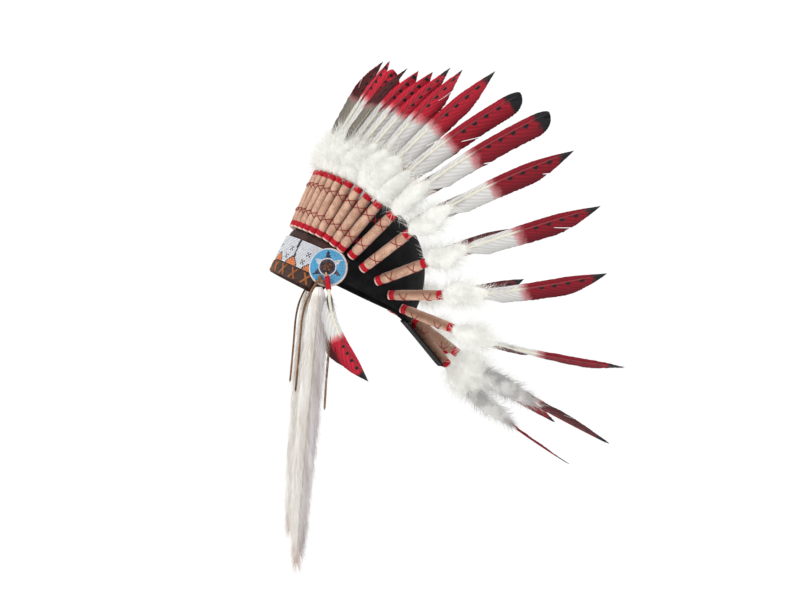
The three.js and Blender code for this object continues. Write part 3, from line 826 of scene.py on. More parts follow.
# %% Strand tree
def strand_mesh(name, length, radius, curl):
    """A tapering three-sided strand along +Z that bends towards +X."""
    points = []
    for share in (0, 0.5):
        thick = radius * (1 - 0.6 * share)
        points += [(curl * share * share + thick * c, thick * s, length * share) for c, s in circle(3)]
    points.append((curl, 0, length))
    faces = loft_faces(2, 3, cap_end=False) + [(3, 4, 6), (4, 5, 6), (5, 3, 6)]
    mesh = bpy.data.meshes.new(name)
    mesh.from_pydata(points, [], faces)
    return bpy.data.objects.new(name, mesh)


class CopyTree(Nodes):
    """A Geometry Nodes tree under construction that puts copies of an object on points."""

    def __init__(self, name, sockets):
        super().__init__(bpy.data.node_groups.new(name, "GeometryNodeTree"))
        face = self.tree.interface
        for label, kind in {"Geometry": "Geometry", **sockets}.items():
            face.new_socket(label, in_out="INPUT", socket_type=f"NodeSocket{kind}")
        face.new_socket("Geometry", in_out="OUTPUT", socket_type="NodeSocketGeometry")
        self.given = self.add("NodeGroupInput").outputs

    def vector(self, name):
        settings = {"data_type": "FLOAT_VECTOR"}
        return self.add("GeometryNodeInputNamedAttribute", settings, Name=name).outputs["Attribute"]

    def random(self, low, high, seed):
        settings = {"data_type": "FLOAT"}
        return self.add("FunctionNodeRandomValue", settings, i2=low, i3=high, Seed=seed).outputs[1]

    def copies(self, thing, points, rotation, scale):
        shape = self.add("GeometryNodeObjectInfo", Object=thing).outputs["Geometry"]
        placed = self.add(
            "GeometryNodeInstanceOnPoints", Points=points, Instance=shape, Rotation=rotation, Scale=scale,
        )
        return self.add("GeometryNodeRealizeInstances", i0=placed.outputs[0]).outputs[0]

    def finished(self, geometry):
        paint = self.add("GeometryNodeSetMaterial", Geometry=geometry, Material=self.given["Material"])
        self.add("NodeGroupOutput", i0=paint.outputs[0])
        return self.tree


def strand_tree():
    made = CopyTree("strands_on_surface", {
        "Density": "Float", "Strand": "Object", "Shortest": "Float", "Longest": "Float", "Loose": "Float",
        "Seed": "Int", "Material": "Material",
    })
    given = made.given
    surface, seed = given["Geometry"], given["Seed"]
    scatter = made.add(
        "GeometryNodeDistributePointsOnFaces", Mesh=surface, Density=given["Density"], Seed=seed,
    )
    wander = made.add(
        "FunctionNodeRandomValue", {"data_type": "FLOAT_VECTOR"}, i0=(-1, -1, -1), i1=(1, 1, 1), Seed=seed,
    )
    looser = made.add(
        "ShaderNodeVectorMath", {"operation": "SCALE"}, i0=wander.outputs[0], Scale=given["Loose"],
    )
    heading = made.add("ShaderNodeVectorMath", i0=made.vector("flow"), i1=looser.outputs[0])
    aim = made.add("FunctionNodeAlignRotationToVector", {"axis": "Z"}, Vector=heading.outputs[0])
    spin = made.add("FunctionNodeAxisAngleToRotation", Angle=made.random(0.0, 2 * math.pi, 0))
    turn = made.add(
        "FunctionNodeRotateRotation", {"rotation_space": "LOCAL"}, i0=aim.outputs[0], i1=spin.outputs[0],
    )
    size = made.random(given["Shortest"], given["Longest"], seed)
    strands = made.copies(given["Strand"], scatter.outputs["Points"], turn.outputs[0], size)
    both = made.add("GeometryNodeJoinGeometry", i0=strands)
    made.put(surface, both.inputs[0])
    return made.finished(both.outputs[0])


def run_tree(obj, tree, **values):
    """Adds the tree as a modifier, sets its inputs by identifier and turns the result into a mesh."""
    modifier = obj.modifiers.new(tree.name, "NODES")
    modifier.node_group = tree
    for item in tree.interface.items_tree:
        if item.in_out == "INPUT" and item.name in values:
            modifier[item.identifier] = values[item.name]
    return applied(obj)


strands_on_surface = strand_tree()
print("strand tree:", len(strands_on_surface.nodes), "nodes")

# %% [markdown]
# ## Down
#
# Each quill has a plume of down round its foot: fluffy at the root, swelling, then tapering to the vane.
# The core is a soft lumpy spindle, and the strands leave it outwards and forwards. Over the brow the
# spindles are wide enough to grow into one another. Past the white plume of a side feather a small grey
# tuft lies along the quill, and the three feathers at the nape are grey and downy for half their length.

# %% Down finish
def down_finish(name, shade, light):
    made = Finish(name, roughness=0.95, Sheen_Weight=0.3, Sheen_Roughness=0.7)
    made.colour(made.blend(made.band(made.noise(60, 2.0), 0.35, 0.65), shade, light))
    return made.material


white_down = down_finish("white_down", (0.84, 0.84, 0.8, 1), (0.96, 0.96, 0.92, 1))
dark_down = down_finish("dark_down", (0.02, 0.02, 0.02, 1), (0.3, 0.28, 0.27, 1))
soft_grey_down = down_finish("soft_grey_down", (0.42, 0.41, 0.4, 1), (0.74, 0.73, 0.7, 1))
down_strand = strand_mesh("down_strand", 20 * mm, 0.24 * mm, 6 * mm)
tuft_strand = strand_mesh("tuft_strand", 14 * mm, 0.2 * mm, 5 * mm)

# %% Plumes
plume_profile = [(0, 0.3), (0.06, 0.5), (0.14, 0.74), (0.25, 0.95), (0.38, 1), (0.52, 0.96), (0.66, 0.84),
                 (0.79, 0.6), (0.9, 0.34), (1, 0.06)]
core_shares = (0.62, 0.86)
row_spread = 1.6
tufted_from = 7
side_tuft = {"start": 66 * mm, "length": 40 * mm, "wide": 3 * mm, "deep": 2 * mm, "lumpy": 0.55}
nape_tuft = {"start": 36 * mm, "length": 108 * mm, "wide": 12 * mm, "deep": 11 * mm, "lumpy": 0.25}
side_strands = {"Shortest": 0.4, "Longest": 1.1, "Loose": 0.5}
nape_strands = {"Shortest": 0.5, "Longest": 1.2, "Loose": 0.4}


def plume_core(quill, across, outward, start, length, wide, deep, seed, lumpy=0.55):
    around = 14
    points, flow = [], []
    for share, size in plume_profile:
        reach = (start + share * length) / quill.length
        middle, along = quill.at(reach), quill.along(reach)
        for c, s in circle(around):
            out = across * (wide * c) + outward * (deep * s)
            lump = noise.noise(Vector((middle + out) * 45) + Vector((seed, 0, 0)))
            points.append(middle + out * size * (1 + lumpy * lump))
            flow.append((out.normalized() * (1 - 0.5 * share) + along * (0.5 + 0.7 * share)).normalized())
    return points, loft_faces(len(plume_profile), around), flow


def store_flow(obj, flow, side, tipped=True):
    layer = obj.data.attributes.new("flow", "FLOAT_VECTOR", "POINT")
    turned = [tilt @ Vector(f) if tipped else Vector(f) for f in flow]
    layer.data.foreach_set("vector", [x for f in turned for x in (f.x * side, f.y, f.z)])


def make_plume(name, core, side, node, finish, **strands):
    points, faces, flow = core
    plume = add_piece(name, points, faces, [finish], side)
    store_flow(plume, flow, side)
    run_tree(plume, strands_on_surface, Material=finish, **strands)
    return finish_piece(plume, "feather", node)


for index, station, number, side in each_feather():
    quill = quills[index]
    _, along, across = wrap_place(station)
    outward = across.cross(along).normalized()
    seed = 10 * index + side
    size = mix(*core_shares, smooth((index - 5) / 4))
    wide, deep = plume_width / 2 * max(0.8, station["row"]) * size, plume_depth / 2 * size
    if index < row_stations - 1:
        wide *= row_spread
    length = plume_length * random.Random(seed).uniform(0.84, 1.02)
    core = plume_core(quill, across, outward, 0, length, wide, deep, seed)
    make_plume(
        f"plume_{number}", core, side, f"feather_{number}", white_down, Density=200000.0,
        Strand=down_strand, Shortest=0.35, Longest=1.2, Loose=0.9, Seed=7 + 2 * index + (side < 0),
    )
    if index >= tufted_from:
        tuft, strands = (nape_tuft, nape_strands) if index >= paired_wraps else (side_tuft, side_strands)
        core = plume_core(quill, across, outward, seed=seed, **tuft)
        make_plume(
            f"tuft_{number}", core, side, f"feather_{number}", soft_grey_down, Density=150000.0,
            Strand=tuft_strand, Seed=90 + 2 * index + (side < 0), **strands,
        )

# %% [markdown]
# ## The cap
#
# The felt was steamed over a block, so it is one smooth wall with a cut edge that dips at the nape.
# The tab behind the nape is the same felt.

# %% Felt cap
def dome_row(share, around, out):
    """A ring of the dome, from the cut edge at share 0 to near the top at share 1."""
    ring = []
    for j in range(around):
        turn = 360 * j / around - 180
        edge = cap_edge_level - nape_dip * smooth((abs(turn) - nape_dip_turn) / (180 - nape_dip_turn))
        if share < 0.15:
            level = mix(edge, widest_level, share / 0.15)
        else:
            rise = 89 * (share - 0.15) / 0.85
            level = widest_level + (dome_height + out) * math.sin(math.radians(rise))
        p = round_head(turn, level, out)
        ring.append(p * (1 + 0.004 * noise.noise(p * 22)))
    return ring


def felt_cap():
    around, rows = 96, 30
    outer = [dome_row(1 - i / rows, around, felt_wall - 0.3 * mm) for i in range(rows + 1)]
    lip = [p - Vector((0, 0, 0.7 * mm)) for p in dome_row(0, around, felt_wall * 0.5)]
    inner = [dome_row(i / rows, around, 0.1 * mm) for i in range(rows + 1)]
    return closed_skin([*outer, lip, *inner])


def nape_tab():
    start, along, _ = wrap_place(nape)
    across = Vector((1, 0, 0))
    under = along.cross(across)
    if under.z > 0:
        under = -under
    tab_length, tab_width, tab_end_width = 72 * mm, 58 * mm, 44 * mm
    low = wrap_diameter / 2 + gap
    rings = []
    steps, columns = 16, 12
    for i in range(steps + 1):
        share = i / steps
        distance = mix(-(felt_wall + wrap_diameter / 2), tab_length, share)
        corner = math.sqrt(max(0.0, 1 - max(0.0, (share - 0.86) / 0.14) ** 2))
        half = mix(tab_width, tab_end_width, share) / 2 * mix(0.78, 1, corner)
        top, bottom = [], []
        for j in range(columns + 1):
            u = 2 * j / columns - 1
            wave = 0.7 * mm * math.sin(4 * share + 2 * u)
            base = start + along * distance + across * (half * u)
            top.append(base + under * (low + 0.2 * mm + wave * share))
            bottom.append(base + under * (low + felt_wall + wave * share))
        rings.append(top + bottom[::-1])
    return closed_skin(rings)


finish_piece(add_piece("felt_cap", *felt_cap(), [black_felt]), "black_felt", "cap")
finish_piece(add_piece("felt_tab", *nape_tab(), [black_felt]), "black_felt", "cap")
print("cap made")

# %% [markdown]
# ## Brow band, panel and trim
#
# Three strips go round the brow. Each follows the head with a rounded cross section. The band's back
# corners fall away behind the rosettes.

# %% Strips round the brow
band_turn = 80
band_corner_turn = 12
band_fall_turn = 30
band_fall = 0.16
trim_height = 17.5 * mm
trim_wall = 1.6 * mm
panel_height = 35 * mm
panel_turn = 62
panel_low = trim_height + gap


def band_low(turn):
    return cap_edge_level * smooth((abs(turn) - (band_turn - band_corner_turn)) / band_corner_turn)


def band_high(turn):
    past = (abs(turn) - (band_turn - band_fall_turn)) / band_fall_turn
    return band_height * (1 - band_fall * smooth(past))


def strip(reach, inner, wall, low, high, steps=120, columns=14):
    """A band round the brow. Its two long edges are rounded and its faces have a slight wave."""
    rings = []
    for i in range(steps + 1):
        turn = mix(-reach, reach, i / steps)
        bottom, top = low(turn), high(turn)
        outer, back = [], []
        for j in range(columns + 1):
            u = j / columns
            level = mix(bottom, top, u)
            edge = min(u, 1 - u) * (top - bottom)
            tuck = 0.5 * wall * (1 - math.sqrt(max(0.0, 1 - max(0.0, 1 - edge / wall) ** 2)))
            wave = 0.25 * mm * noise.noise(Vector((turn * 0.12, level / mm * 0.06, inner / mm)))
            outer.append(round_head(turn, level, inner + wall - tuck + wave))
            back.append(round_head(turn, level, inner + tuck))
        rings.append(back + outer[::-1])
    return closed_skin(rings)


def woven_finish():
    """Dark braid: fine crossing threads in bump, with a little brown in the colour."""
    made = Finish("dark_braid", roughness=0.9, Sheen_Weight=0.1)
    threads = made.band(made.noise(900, 3.0), 0.4, 0.6)
    made.colour(made.blend(threads, (0.02, 0.009, 0.007, 1), (0.07, 0.03, 0.022, 1)))
    made.bump(made.noise(1600, 2.0), 0.6, 0.5 * mm)
    return made.material


dark_braid = woven_finish()
band = add_piece("suede_band", *strip(band_turn, band_inner, band_wall, band_low, band_high), [brown_suede])
finish_piece(band, "brown_suede", "brow_band")
trim = add_piece(
    "braid_strip",
    *strip(panel_turn, trim_inner, trim_wall, lambda t: 0.0, lambda t: trim_height), [dark_braid],
)
finish_piece(trim, "dark_trim", "cross_trim")

# %% Crosses on the trim
cross_turns = 12.7
cross_first = 5.1
cross_reach = 2.9
rust_thread = nap_finish("rust_thread", (0.2, 0.06, 0.02, 1), (0.44, 0.16, 0.055, 1), 900, 0.5, 0.1)


def trim_cross(middle):
    parts = []
    for sign in (-1, 1):
        for beside in (-0.45, 0.45):
            line = []
            for i in range(11):
                u = 2 * i / 10 - 1
                lift = 0.25 * mm + (0.35 * mm if sign > 0 else 0) * (1 - u * u)
                turn = middle + cross_reach * u * sign + beside
                line.append(round_head(turn, trim_height * (0.5 + 0.4 * u), trim_inner + trim_wall + lift))
            parts.append(tube(line, [0.75 * mm] * 11, 6, hint=(0, 0, 1)))
    return join_parts(parts)


crosses = []
for k in range(5):
    for sign in (-1, 1):
        crosses.append(trim_cross(sign * (cross_first + cross_turns * k)))
finish_piece(add_piece("trim_crosses", *join_parts(crosses), [rust_thread]), "dark_trim")
print("strips made,", len(crosses), "crosses")

# %% [markdown]
# ## Seed beads
#
# The panel and the rosettes are sewn seed beads. A rule gives each place its colour: the panel counts
# beads from the middle of the brow, and a rosette works in rings. The points carry the colour and the
# way out of the cloth, and one Geometry Nodes tree puts a bead on each.

# %% Bead tree
def bead_mesh():
    """A short fat ring of glass with its ends pinched in, along +X."""
    profile = [(-0.46, 0.3), (-0.3, 0.47), (0.3, 0.47), (0.46, 0.3)]
    rings = [[(x, radius * c, radius * s) for c, s in circle(6)] for x, radius in profile]
    points, faces = closed_skin(rings)
    mesh = bpy.data.meshes.new("seed_bead")
    mesh.from_pydata(points, [], faces)
    mesh.polygons.foreach_set("use_smooth", [True] * len(mesh.polygons))
    return bpy.data.objects.new("seed_bead", mesh)


def bead_tree():
    made = CopyTree("beads_on_points", {
        "Bead": "Object", "Size": "Float", "Uneven": "Float", "Seed": "Int", "Material": "Material",
    })
    given = made.given
    aim = made.add("FunctionNodeAlignRotationToVector", {"axis": "X"}, Vector=made.vector("row_way"))
    up = made.add(
        "FunctionNodeAlignRotationToVector", {"axis": "Z", "pivot_axis": "X"}, Rotation=aim.outputs[0],
        Vector=made.vector("out_way"),
    )
    spread = made.random(given["Uneven"], 1.0, given["Seed"])
    size = made.add("ShaderNodeMath", {"operation": "MULTIPLY"}, i0=spread, i1=given["Size"])
    points = made.add("GeometryNodeMeshToPoints", Mesh=given["Geometry"])
    return made.finished(made.copies(given["Bead"], points.outputs[0], up.outputs[0], size.outputs[0]))


def bead_finish():
    made = Finish("seed_beads", roughness=0.28)
    made.colour(made.attribute("tint", "Color"))
    return made.material


beads_on_points = bead_tree()
seed_bead = bead_mesh()
seed_beads = bead_finish()
glass = {
    "white": (0.8, 0.82, 0.86), "black": (0.012, 0.012, 0.016), "orange": (0.85, 0.24, 0.05),
    "sky": (0.1, 0.5, 0.82), "navy": (0.02, 0.025, 0.07), "ice": (0.6, 0.78, 0.9),
}


def add_beads(name, places, side, size, seed, slot):
    """places are (point, way along the row, way out, colour name)."""
    rng = random.Random(seed)
    mesh = bpy.data.meshes.new(name)

    def turned(v):
        v = tilt @ v
        return v.x * side, v.y, v.z

    mesh.from_pydata([turned(p) for p, _, _, _ in places], [], [])
    for label, column in (("row_way", 1), ("out_way", 2)):
        layer = mesh.attributes.new(label, "FLOAT_VECTOR", "POINT")
        layer.data.foreach_set("vector", [x for place in places for x in turned(place[column])])
    tints = []
    for place in places:
        strength = rng.uniform(0.86, 1.06)
        tints.extend([min(1.0, c * strength) for c in glass[place[3]]] + [1.0])
    mesh.attributes.new("tint", "FLOAT_COLOR", "POINT").data.foreach_set("color", tints)
    obj = in_scene(name, mesh)
    run_tree(obj, beads_on_points, Bead=seed_bead, Size=size, Uneven=0.88, Seed=seed, Material=seed_beads)
    return finish_piece(obj, slot)


# %% Bead panel
bead_size = 1.95 * mm
panel_rows = 18
peak_period = 16
first_peak = 12
cross_middles = ((-7, 4), (-5, 10))
cloth_wall = 1.1 * mm


def panel_colour(column, row):
    """Orange peaks with black steps, a stepped line over every other peak, and small crosses."""
    u = (abs(column) - first_peak + peak_period // 2) % peak_period - peak_period // 2
    peak = (abs(column) - first_peak + peak_period // 2) // peak_period
    height = 5 - max(0, abs(u) - 1)
    if abs(u) <= 4 and row < height:
        return "orange"
    if (abs(u) <= 4 and row < height + 1) or (abs(u) == 5 and row < 2):
        return "black"
    if peak % 2 == 1:
        for first_row, line in ((12, (-1, 0)), (8, (0,)), (5, (0, 1))):
            if row >= first_row:
                if u in line:
                    return "black"
                break
    for middle, level in cross_middles:
        du, dr = abs(u - middle), abs(row - level)
        if du == dr and du <= 1:
            return "black"
    return "white"


def arc_turns(out, level, step, reach):
    """Turns at even steps of arc from the middle of the brow to the given reach."""
    turns, turn, covered = [0.0], 0.0, 0.0
    before = round_head(0, level, out)
    while turn < reach:
        turn += 0.05
        here = round_head(turn, level, out)
        covered += (here - before).length
        before = here
        if covered >= step:
            turns.append(turn)
            covered -= step
    return turns


grey_cloth = nap_finish("panel_cloth", (0.5, 0.5, 0.52, 1), (0.7, 0.7, 0.72, 1), 600, 0.3, 0)
panel_base = strip(
    panel_turn, trim_inner, cloth_wall, lambda t: panel_low, lambda t: panel_low + panel_height,
)
finish_piece(add_piece("panel_cloth", *panel_base, [grey_cloth]), "white_beads", "bead_panel")
bead_out = trim_inner + cloth_wall + bead_size * 0.35
half_turns = arc_turns(bead_out, widest_level, bead_size, panel_turn - 0.8)
places = []
for row in range(panel_rows):
    level = panel_low + bead_size * (row + 0.45)
    for k, half in enumerate(half_turns):
        for sign in ((1,) if k == 0 else (-1, 1)):
            turn = sign * half
            p = round_head(turn, level, bead_out)
            after, before = (round_head(turn + step, level, bead_out) for step in (0.5, -0.5))
            way = (after - before).normalized()
            places.append((p, way, away_from_head(turn, level, bead_out), panel_colour(sign * k, row)))
add_beads("panel_beads", places, 1, bead_size, 5, "white_beads")
print(len(places), "beads on the panel")

# %% Rosettes and buttons
button_diameter = 13 * mm
button_height = 4 * mm
star_points = 6
star_first = 112


def temple_point(radius, angle, out):
    per_degree = (round_head(rosette_turn, rosette_level, rosette_inner)
                  - round_head(rosette_turn + 1, rosette_level, rosette_inner)).length
    return round_head(
        rosette_turn + radius * math.cos(angle) / per_degree, rosette_level + radius * math.sin(angle), out,
    )


def temple_disc(profile, around=48):
    """A disc from (radius, out) pairs, from the middle of its back to the middle of its front."""
    angles = [2 * math.pi * j / around for j in range(around)]
    return closed_skin([[temple_point(radius, angle, out) for angle in angles] for radius, out in profile])


def rosette_colour(radius, angle):
    """White rim, sky field with a star of dark and white points, then a white and a black ring."""
    r = radius / mm
    if r > 23.3:
        return "white"
    if r < 9.4:
        return "ice" if r < 7 else "navy"
    if r < 11.4:
        return "white"
    spacing = 360 / star_points
    turn = (math.degrees(angle) - star_first) % 360
    nearest = round(turn / spacing)
    across = abs(turn - nearest * spacing)
    half_width = 4.2 * (1 - (r - 11) / 10.5)
    if r < 21.5 and r * math.radians(across) < half_width:
        return "navy" if nearest % 2 == 0 else "white"
    return "sky"


disc_radius = rosette_diameter / 2
front_out = rosette_inner + rosette_wall * 0.7
disc_profile = [
    (0.5 * mm, rosette_inner), (disc_radius - 1 * mm, rosette_inner),
    (disc_radius - 0.2 * mm, mix(rosette_inner, front_out, 0.5)), (disc_radius - 1.2 * mm, front_out),
    (disc_radius * 0.5, front_out + 0.5 * mm), (0.5 * mm, front_out + 0.7 * mm),
]
top = rosette_outer + gap
button_radius = button_diameter / 2
button_profile = [
    (0.3 * mm, top), (button_radius - 0.5 * mm, top), (button_radius, top + 0.5 * mm),
    (button_radius - 0.3 * mm, top + 1.3 * mm), (button_radius - 1.3 * mm, top + 1.5 * mm),
    (button_radius - 1.6 * mm, top + 1.2 * mm), (button_radius - 2.2 * mm, top + 2.1 * mm),
    (button_radius - 3.6 * mm, top + 3.2 * mm), (button_radius - 5 * mm, top + 3.8 * mm),
    (0.3 * mm, top + button_height),
]


def bronze_finish():
    made = Finish("worn_bronze", roughness=0.38, Metallic=0.9)
    worn = made.band(made.noise(420, 4.0), 0.42, 0.62)
    made.colour(made.blend(worn, (0.05, 0.022, 0.016, 1), (0.2, 0.1, 0.065, 1)))
    made.bump(made.noise(700, 3.0), 0.5, 0.5 * mm)
    return made.material


worn_bronze = bronze_finish()
for label, side in sides.items():
    disc = add_piece(f"rosette_disc_{label}", *temple_disc(disc_profile), [pale_hide], side)
    finish_piece(disc, "sky_beads", f"rosette_{label}")
    button = add_piece(f"bronze_button_{label}", *temple_disc(button_profile, 32), [worn_bronze], side)
    finish_piece(button, "dark_bronze", f"button_{label}")
    places = []
    radius = 5.4 * mm
    while radius < disc_radius - 0.4 * mm:
        count = round(2 * math.pi * radius / bead_size)
        dome = (1 - (radius / disc_radius) ** 2) * 0.7 * mm
        stagger = 0.5 * (round(radius / bead_size) % 2)
        for j in range(count):
            angle = 2 * math.pi * (j + stagger) / count
            out = front_out + dome + bead_size * 0.28
            p = temple_point(radius, angle, out)
            way = (temple_point(radius, angle + 0.02, out) - p).normalized()
            facing = away_from_head(rosette_turn, rosette_level, out)
            places.append((p, way, facing, rosette_colour(radius, angle)))
        radius += bead_size * 0.93
    add_beads(f"rosette_beads_{label}", places, side, bead_size, 11, "sky_beads")
print(len(places), "beads on a rosette")

# %% [markdown]
# ## Quill wraps
#
# Each quill is rolled in a strip of hide. Red thread binds both ends of the roll, and a second thread
# is laced across the row at two levels, crossing itself on every wrap.

# %% Hide rolls and bindings
def hide_finish():
    """Peach hide, paler at the cut ends, with painted shade from the dark attribute over the nape wraps and
    down each wrap's sides.
    """
    made = Finish("peach_hide", roughness=0.9, Sheen_Weight=0.2, Sheen_Roughness=0.5)
    fine = made.math("MULTIPLY", made.noise(600, 3.0), 0.4)
    blotch = made.band(made.math("MULTIPLY_ADD", made.noise(90, 3.0), 0.6, fine), 0.36, 0.62)
    hide = made.blend(blotch, (0.44, 0.235, 0.15, 1), (0.7, 0.43, 0.31, 1))
    hide = made.blend(made.attribute("pale"), hide, (0.8, 0.54, 0.47, 1))
    # The dark attribute paints shade into the hide colour.
    made.colour(made.blend(made.attribute("dark"), hide, (0.2, 0.1, 0.06, 1)))
    made.bump(made.noise(700, 4.0), 0.3, 0.5 * mm)
    return made.material


def thread_finish(name, shade, light):
    made = Finish(name, roughness=0.7, Specular_IOR_Level=0.3)
    made.colour(made.blend(made.band(made.noise(500, 2.0), 0.4, 0.6), shade, light))
    return made.material


peach_hide = hide_finish()
red_thread = thread_finish("red_thread", (0.34, 0.002, 0.01, 1), (0.64, 0.005, 0.026, 1))
lacing_thread = thread_finish("lacing_thread", (0.16, 0.004, 0.008, 1), (0.36, 0.01, 0.016, 1))
end_length = 1.8 * mm
top_shift = 1.6 * mm
binding_length = 7 * mm
binding_turns = 7
under_binding = bound_diameter / 2 - 0.4 * mm
binding_ridge = 0.42 * mm


def ring_rows(start, along, across, rows, around):
    """Rings round a straight axis from (distance, radius) pairs."""
    outward = across.cross(along).normalized()
    rings = []
    for distance, radius in rows:
        middle = start + along * distance
        rings.append([middle + (across * (radius * c) + outward * (radius * s)) for c, s in circle(around)])
    return closed_skin(rings)


def roll_rows(length, rng):
    """The roll's radius along its length: cut ends that flare, a waist under each binding, a full body."""
    full, bound = wrap_diameter / 2, bound_diameter / 2 - 0.5 * mm
    inner = end_length + binding_length + 2 * mm
    rows = [(0, bound * 0.55), (0, bound * 1.02), (0.8 * mm, bound * 1.08), (end_length, bound),
            (end_length + binding_length, bound), (inner, full * 0.97)]
    for k in range(1, 8):
        share = k / 8
        rows.append((mix(inner, length - inner, share), full * (0.985 + rng.uniform(-0.025, 0.02))))
    rows += [(length - d + top_shift, r) for d, r in reversed(rows[3:6])]
    rows += [(length, bound), (length, bound * 0.55)]
    return rows


def thread_rows(start, length, turns, radius, ridge):
    """Turns of thread side by side: a ridge for each turn."""
    rows = []
    for k in range(turns):
        for share, lift in ((0.08, 0), (0.3, ridge), (0.7, ridge), (0.92, 0)):
            rows.append((start + length * (k + share) / turns, radius + lift))
    return rows


def wrap_node(index, label):
    if index < row_stations:
        return "wrap_row"
    if index < paired_wraps:
        return f"wrap_{index + 1:02d}_{label}"
    return "wraps_nape"


for index, station, number, side in each_feather():
    rng = random.Random(40 + index)
    start, along, across = wrap_place(station)
    length = wrap_length * station["wrap"]
    rows = roll_rows(length, rng)
    around = 20
    points, faces = ring_rows(start, along, across, rows, around)
    pale = [1.0 if d <= end_length else 0.0 for d, _ in rows for _ in range(around)]
    # Painted shade: the nape wraps are darkened all over, and every wrap is darkened down the sides that
    # face its neighbours.
    nape_painted_shade = 0.75 if index >= paired_wraps else 0.0
    groove_painted_shade = [abs(c) ** 3 for c, _ in circle(around)]
    dark = [max(nape_painted_shade, 0.8 * g) for _ in rows for g in groove_painted_shade]
    roll = add_piece(
        f"wrap_roll_{number}", points, faces, [peach_hide], side, attributes={"pale": pale, "dark": dark},
    )
    finish_piece(roll, "tan_hide", wrap_node(index, "left" if side > 0 else "right"))
    bindings = []
    for first in (end_length, length - end_length + top_shift - binding_length):
        turns = thread_rows(first, binding_length, binding_turns, under_binding, binding_ridge)
        bindings.append(ring_rows(start, along, across, turns, 16))
    binding = add_piece(f"binding_{number}", *join_parts(bindings), [red_thread], side)
    finish_piece(binding, "tan_hide")
print("wraps made")

# %% Lacing
lace_levels = (0.3, 0.74)
lace_rise = 5.5 * mm
lace_radius = 0.5 * mm


def on_wrap(station, share, angle, lift):
    """A point on a wrap's skin: how far along it, and how far round from its outermost line."""
    start, along, across = wrap_place(station)
    outward = across.cross(along).normalized()
    radius = wrap_diameter / 2 + 0.25 * mm + lift
    distance = wrap_length * station["wrap"] * share
    turn = math.radians(angle)
    around = across * (radius * math.sin(turn)) + outward * (radius * math.cos(turn))
    return start + along * distance + around


def lace(index, share, sign):
    """One thread over a wrap, rising or falling, and on to the next wrap of the sewn row."""
    station = stations[index] if index < len(stations) else nape
    length = wrap_length * station["wrap"]
    line = []
    for k in range(9):
        u = k / 4 - 1
        over = (1 - u * u) * (0.3 * mm if sign > 0 else 0)
        line.append(on_wrap(station, share + sign * u * lace_rise / length, 78 * u, over))
    if index < row_stations:
        after = stations[index + 1]
        line.append(on_wrap(after, share - sign * lace_rise / length, -70, 0))
    return tube(line, [lace_radius] * len(line), 5, hint=(0, 0, 1))


for label, side in sides.items():
    threads = []
    for index in range(len(stations) + (side > 0)):
        for share in lace_levels:
            for sign in (-1, 1):
                threads.append(lace(index, share, sign))
    finish_piece(add_piece(f"lacing_{label}", *join_parts(threads), [lacing_thread], side), "tan_hide")
print("lacing made")

# %% [markdown]
# ## Fur drops
#
# A long narrow strip of white fur hangs straight down from each knot. Its skin is a flat strap with a
# crease down its face, and the hairs lie down along it and out past its edges.

# %% Fur drops
fur_length = 362 * mm
fur_width = 34 * mm
fur_depth = 11 * mm
fur_below_knot = 2.4 * mm
strap_shares = [(0, 0.12), (0.03, 0.24), (0.08, 0.34), (0.16, 0.38), (0.3, 0.39), (0.5, 0.37), (0.7, 0.33),
                (0.85, 0.28), (0.94, 0.2), (0.99, 0.07)]
strap_route = [
    (0, 0, 0), (0.6, -0.004, -0.04), (0.75, -0.02, -0.25), (0.75, -0.055, -0.63), (0.75, -0.08, -0.955),
]
fur_strand = strand_mesh("fur_strand", 19 * mm, 0.24 * mm, 2.2 * mm)


def fur_finish():
    """White on the leading half and a lilac grey copy of it behind the crease, painted shade on the rear
    half. Brownish in the crease and at the tip.
    """
    made = Finish("white_fur", roughness=0.85, Sheen_Weight=0.3, Sheen_Roughness=0.5)
    streak = made.band(made.noise(130, 3.0, stretch=(1, 1, 0.12)), 0.35, 0.65)
    front = made.blend(streak, (0.82, 0.78, 0.72, 1), (0.95, 0.93, 0.9, 1))
    # Painted shade: the rear half of the strap is a darker lilac grey copy of the white.
    back = made.blend(streak, (0.62, 0.57, 0.56, 1), (0.84, 0.81, 0.82, 1))
    colour = made.blend(made.band(made.attribute("back_half"), 0.46, 0.66), front, back)
    crease = made.math("SUBTRACT", made.attribute("back_half"), 0.5)
    crease = made.band(made.math("ABSOLUTE", crease), 0.07, 0.0)
    colour = made.blend(made.math("MULTIPLY", crease, 0.55), colour, (0.36, 0.25, 0.18, 1))
    low = made.band(made.attribute("down_share"), 0.9, 1.0)
    made.colour(made.blend(made.math("MULTIPLY", low, 0.6), colour, (0.55, 0.38, 0.33, 1)))
    return made.material


white_fur = fur_finish()


def fur_strap():
    root = knot_place + Vector((1.5, -1.5, 0)) * mm - Vector((0, 0, knot_height / 2 + fur_below_knot))
    line, _ = smooth_line(
        [root + Vector((x * fur_depth, y * fur_length, z * fur_length)) for x, y, z in strap_route], 60,
    )
    points, flow, back_half, down_share = [], [], [], []
    around = 18
    for i, p in enumerate(line):
        share = i / (len(line) - 1)
        k = max(j for j, (s, _) in enumerate(strap_shares) if s <= share)
        low, high = strap_shares[k], strap_shares[min(k + 1, len(strap_shares) - 1)]
        size = mix(low[1], high[1], smooth((share - low[0]) / max(1e-6, high[0] - low[0])))
        wave = 1 + 0.12 * noise.noise(Vector((share * 26, 3, 0)))
        for back, out in circle(around):
            dent = 1 - 0.5 * math.exp(-(back / 0.16) ** 2)
            points.append(p + Vector((out * 0.3 * fur_depth * dent, back * size * fur_width * wave, 0)))
            flow.append(Vector((out * 0.28, back * 0.2, -1)).normalized())
            back_half.append(0.5 + 0.5 * back)
            down_share.append(share)
    return points, loft_faces(len(line), around), flow, back_half, down_share


